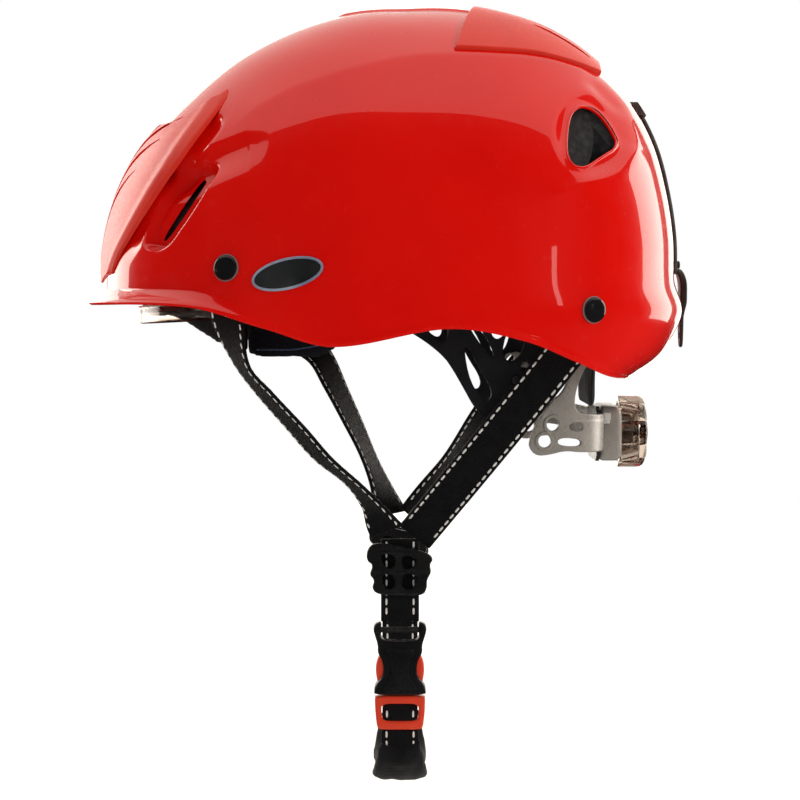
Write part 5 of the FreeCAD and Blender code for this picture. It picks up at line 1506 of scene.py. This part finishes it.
def brow_pad_piece(name, turn_low, turn_high, low, high, inset, thick, material, node, slot, count=90):
    """A pad that lies inside the brow band between two levels given along its run."""
    u, v = np.meshgrid(np.linspace(0, 1, count), np.linspace(0, 1, 12), indexing="ij")
    turn = turn_low + (turn_high - turn_low) * u
    x, y = brow_line(turn, inset)
    z = low(u) + (high(u) - low(u)) * v
    dx, dy = np.gradient(x, axis=0), np.gradient(y, axis=0)
    normal = unit(np.stack([dy, -dx, 0 * x], -1))
    normal = np.where((normal[..., :1] * (x[..., None] + 10) + normal[..., 1:2] * y[..., None]) > 0,
                      normal, -normal)
    pad = pillow(name, (np.stack([x, y, z], -1), normal), pad_height(u, v, thick, (0.03, 0.2)))
    puffed(pad, 1.6, 0.8)
    finished(pad, material, slot, "helmet", node)
    return pad


middle_dip = lambda u: -8.0 - 15.5 * (1 - ease(np.minimum(u, 1 - u) / 0.24))
brow_top = lambda u: 7.0 + 2.0 * (1 - ease(np.minimum(u, 1 - u) / 0.3))
brow_pad_piece("brow_cushion", math.radians(-61.0), math.radians(61.0), middle_dip, brow_top, 4.4, 4.0,
               PAD_CLOTH, "brow_pad", "pad_black")
for hand, side in (("left", -1), ("right", 1)):
    foot = lambda u: -26.6 + 1.6 * (1 - ease(u / 0.16)) + 9.0 * ease((u - 0.6) / 0.4)
    head = lambda u: 9.5 + 2.0 * u
    brow_pad_piece("temple_cushion_" + hand, side * math.radians(60.6), side * math.radians(89.5), foot,
                   head, 4.4, 4.2,
                   PAD_SKIN, "temple_pad_" + hand, "pad_smooth", 40)
    turn = np.radians(np.linspace(64, 86, 24)) * side
    x, y = brow_line(turn, 2.0)
    z = -22.4 + 3.4 * ease((np.abs(turn) - 1.25) / 0.25)
    piping = tube("temple_piping_" + hand, np.stack([x, y, z], -1), 0.45)
    finished(piping, PIPING, "pad_grey", "helmet")


def crown_piece():
    depth = 2.6 + 18.0 + 3.5
    u, v = np.meshgrid(np.linspace(0, 1, 60), np.linspace(0, 1, 44), indexing="ij")
    x, y = 8 - 38 + 76 * u, -36 + 72 * v
    narrow = np.sqrt(np.clip(1 - 0.36 * ((x - 8) / 38) ** 2, 0, 1))
    short = np.sqrt(np.clip(1 - 0.36 * (y / 36) ** 2, 0, 1))
    x, y = 8 + (x - 8) * short, y * narrow
    face = cast(np.stack([x, y, 40 + 0 * x], -1), np.array([0.0, 0, 1.0]))
    normal = dome_normal(face)
    return pillow("crown_cushion", (face - normal * depth, normal), pad_height(u, v, 5.0, (0.08, 0.08)))


crown = puffed(crown_piece(), 2.2, 0.8)
finished(crown, PAD_CLOTH, "pad_black", "helmet", "crown_pad")


def nape_piece():
    u, v = np.meshgrid(np.linspace(0, 1, 50), np.linspace(0, 1, 32), indexing="ij")
    y, z = -30 + 60 * u, -51 + 36 * v
    rows = np.stack([98.2 + 0 * y, y, z], -1), np.broadcast_to(np.array([1.0, 0, 0]), y.shape + (3,))
    return pillow("nape_cushion", rows, pad_height(u, v, 3.6, (0.08, 0.12)))


nape = puffed(nape_piece(), 2.0, 0.7)
finished(nape, PAD_CLOTH, "pad_black", "cradle", "nape_pad")


def chin_sleeve():
    """The soft sleeve round the bottom of the chin webbing, with a dipped neckline on each side."""
    path = np.array(bend_points(SIDE_Y, -228.6, 22.6, -204.4, -204.4, 1.0))
    run = np.concatenate([[0], np.cumsum(np.linalg.norm(np.diff(path, axis=0), axis=1))])
    count, around = 120, 40
    t = np.linspace(0, run[-1], count)
    centre = np.stack([np.interp(t, run, path[:, k]) for k in range(2)], -1)
    along = unit(np.gradient(centre, axis=0))
    turn = np.linspace(0, 2 * math.pi, around, endpoint=False)
    points = []
    share = t / run[-1]
    ends = np.minimum(share, 1 - share)
    for k in range(count):
        wide = 10.0 + 3.6 * ease(ends[k] / 0.3) - 1.0 * ease((ends[k] - 0.3) / 0.2)
        deep = 2.0 + 1.6 * ease(ends[k] / 0.12)
        out = np.array([-along[k][1], along[k][0]])
        for a in turn:
            across = wide * math.copysign(abs(math.cos(a)) ** 0.6, math.cos(a))
            up = deep * math.copysign(abs(math.sin(a)) ** 0.8, math.sin(a))
            dip = 12.0 * (1 - min(1, abs(across) / 11.0) ** 2.2) * (1 - ease(ends[k] / 0.2))
            direction = 1 if share[k] < 0.5 else -1
            fold = 0.35 * math.sin(across * 0.9 + 3 * share[k] * 9) * ease(ends[k] / 0.1)
            spot = centre[k] + out * (up + fold * math.sin(a)) + along[k] * dip * direction
            points.append((CHIN_X + across, spot[0], spot[1]))
    return outward(make("chin_sleeve", points, tube_faces(count, around)))


sleeve = puffed(chin_sleeve(), 1.5, 0.6)
finished(sleeve, PAD_CLOTH, "pad_black", "chin_loop", "chin_pad")


# ------------------------------------------------------------ brow band and lamp retainer

def brow_band():
    """The clear band round the brow, rolled at both edges."""
    turns = np.radians(np.linspace(-90, 90, 121))
    x, y = brow_line(turns, 1.0)
    tail = np.linspace(34, -9, 12)
    x = np.concatenate([tail, x, tail[::-1]])
    y = np.concatenate([np.full(12, -81.0), y, np.full(12, 81.0)])
    low = smooth([(-121, -11.6), (-70, -9.2), (-10, -7.8), (34, -5.2)])(x)
    high = smooth([(-121, -3.4), (-70, 3.0), (-10, 7.6), (34, 7.6)])(x)
    dx, dy = np.gradient(x), np.gradient(y)
    normal = unit(np.stack([dy, -dx, 0 * x], -1))
    profile = [(-0.6, 0.0), (-0.85, 0.12), (-0.6, 0.3), (-0.6, 0.7), (-0.85, 0.88), (-0.6, 1.0),
               (0.6, 1.0), (0.85, 0.88), (0.6, 0.7),
               (0.6, 0.3), (0.85, 0.12), (0.6, 0.0)]
    points = []
    for k in range(len(x)):
        for out, share in profile:
            points.append((x[k] + normal[k][0] * out, y[k] + normal[k][1] * out,
                           low[k] + (high[k] - low[k]) * share))
    return outward(make("brow_band_clear", points, tube_faces(len(x), len(profile))))


finished(crisp(brow_band(), 60), CLEAR, "clear_plastic", "helmet", "browband")


def retainer():
    """The elastic band down the rear of the shell and its moulded tab."""
    z = np.linspace(12.4, 88.0, 60)
    face = cast(np.stack([60 + 0 * z, 0 * z, z], -1), np.array([1.0, 0, 0]), np.full(60, 1.25))
    stations = [(tuple(face[k]), (0, 1, 0)) for k in range(0, 60, 4)] + [(tuple(face[-1]), (0, 1, 0))]
    strip, line = sweep("retainer_strip", stations, 12.0, 1.8, 90)
    centre, wide, normal = line[:3]
    away = unit(np.sign(np.sum(normal * (centre - CENTRE), 1, keepdims=True)) * normal)
    beads = [tube("bead", centre + wide * row * 4.6 + away * 0.8, 0.6) for row in (-1, 1)]
    return joined("retainer_elastic", [strip] + beads)


finished(retainer(), RUBBER, "retainer_rubber", "lamp_retainer", "retainer_band")
tab_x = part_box("retainer_tab")[0][0] / MM
TAB = rounded([(-6, 0.2), (-5.4, -13), (-3.6, -21.5), (-1.4, -23.0), (1.4, -23.0), (3.6, -21.5),
               (5.4, -13), (6, 0.2), (6, 15.0), (-6, 15.0)], 2)
tab = plate("retainer_pull", TAB, [circle(0, -17.4, 1.6)], 3.2, 0.9, [(1, -22, 14, 2.5)])


def at_tab(p):
    """Local z points to the rear, thinner towards the tip, and the root leans in to the band."""
    back = p[:, 2] * (0.5 + 0.5 * ease((p[:, 1] + 9) / 9)) - 0.03 * np.maximum(p[:, 1] - 6, 0) ** 2
    return np.stack([tab_x + 0.2 + back, p[:, 0], p[:, 1]], -1)


place(tab, at_tab)
finished(tab, RUBBER, "retainer_rubber", "lamp_retainer", "retainer_tab")


# ------------------------------------------------------------ carried-over CAD nodes

repaint(STEEL, "rivet_washers", "click_spring")
repaint(BLACK_PLASTIC, "cradle_pegs", "cradle_pins", "cradle_hanger_left", "cradle_hanger_right",
        "ratchet_cover")
repaint(BRONZE, "knob_axle")
repaint(GEAR, "pinion", "rack_left", "rack_right")
repaint(RUBBER, "retainer_anchor", "retainer_catch")


# ------------------------------------------------------------ floor, light and camera

floor = make("studio_floor", [(-2600, -750, -330), (2600, -750, -330), (2600, 2300, -330),
                              (-2600, 2300, -330)], [(0, 1, 2, 3)])
floor.data.materials.append(stage_paper())
floor.visible_glossy = False
floor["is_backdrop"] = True


def area_light(name, where, aim, size, brightness, seen_in_gloss=True, seen_in_matt=True):
    """A rectangular softbox. brightness is what its face would read in a mirror."""
    lamp = bpy.data.lights.new(name, "AREA")
    lamp.shape = "RECTANGLE"
    lamp.size, lamp.size_y = size
    lamp.energy = brightness * math.pi * size[0] * size[1]
    lamp.color = (1.0, 0.935, 0.85)
    obj = bpy.data.objects.new(name, lamp)
    obj.location = where
    obj.rotation_mode = "QUATERNION"
    obj.rotation_quaternion = (Vector(aim) - Vector(where)).to_track_quat("-Z", "Y")
    obj.visible_camera = False
    obj.visible_glossy = seen_in_gloss
    obj.visible_diffuse = seen_in_matt
    bpy.context.scene.collection.objects.link(obj)
    return obj


area_light("ceiling", (0.05, 1.02, 1.25), (0.05, 1.02, 0.0), (3.4, 3.16), 0.95)
area_light("back_wall", (0.0, 2.6, 0.45), (0.0, 0.0, 0.45), (3.6, 1.7), 2.2)
area_light("front_side", (-1.5, 1.1, 0.45), (0.0, 0.0, 0.05), (1.1, 1.3), 4.7)
area_light("rear_side", (1.6, 0.9, 0.25), (0.0, 0.0, 0.0), (0.9, 1.3), 3.8)
area_light("key", (1.7, -1.4, 0.7), (0.0, 0.0, 0.0), (1.2, 1.2), 4.2, False)
area_light("fill", (-1.3, -1.5, 0.2), (0.0, 0.0, 0.0), (1.2, 1.2), 0.8, False)
area_light("window", (0.95, -0.85, 0.18), (0.09, -0.08, 0.02), (0.05, 0.26), 3.0, True, False)
area_light("glint", (-1.05, -0.34, 0.0), (-0.07, -0.10, 0.012), (0.16, 0.035), 3.0, True, False)

world = bpy.data.worlds.new("studio")
bpy.context.scene.world = world
world.use_nodes = True
tree = world.node_tree
tree.nodes.clear()
output = tree.nodes.new("ShaderNodeOutputWorld")
around, seen, dark = (tree.nodes.new("ShaderNodeBackground") for _ in range(3))
for light, level in ((around, 0.30), (seen, 1.0), (dark, 0.012)):
    light.inputs["Color"].default_value = (1, 1, 1, 1)
    light.inputs["Strength"].default_value = level
rays = tree.nodes.new("ShaderNodeLightPath")
shine, mix = tree.nodes.new("ShaderNodeMixShader"), tree.nodes.new("ShaderNodeMixShader")
tree.links.new(rays.outputs["Is Glossy Ray"], shine.inputs[0])
tree.links.new(around.outputs[0], shine.inputs[1])
tree.links.new(dark.outputs[0], shine.inputs[2])
tree.links.new(rays.outputs["Is Camera Ray"], mix.inputs[0])
tree.links.new(shine.outputs[0], mix.inputs[1])
tree.links.new(seen.outputs[0], mix.inputs[2])
tree.links.new(mix.outputs[0], output.inputs["Surface"])

camera = bpy.data.cameras.new("camera")
camera.sensor_width = 36.0
camera.lens = 92.3
camera.clip_start, camera.clip_end = 0.01, 20
eye = bpy.data.objects.new("camera", camera)
eye.location = (0.0073, -1.0, 0.0)
eye.rotation_mode = "QUATERNION"
eye.rotation_quaternion = (Vector((0.0073, 0.0, -0.0488)) - eye.location).to_track_quat("-Z", "Y")
bpy.context.scene.collection.objects.link(eye)
bpy.context.scene.camera = eye
bpy.context.scene.view_settings.view_transform = "Standard"

bpy.context.view_layer.update()
low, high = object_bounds()
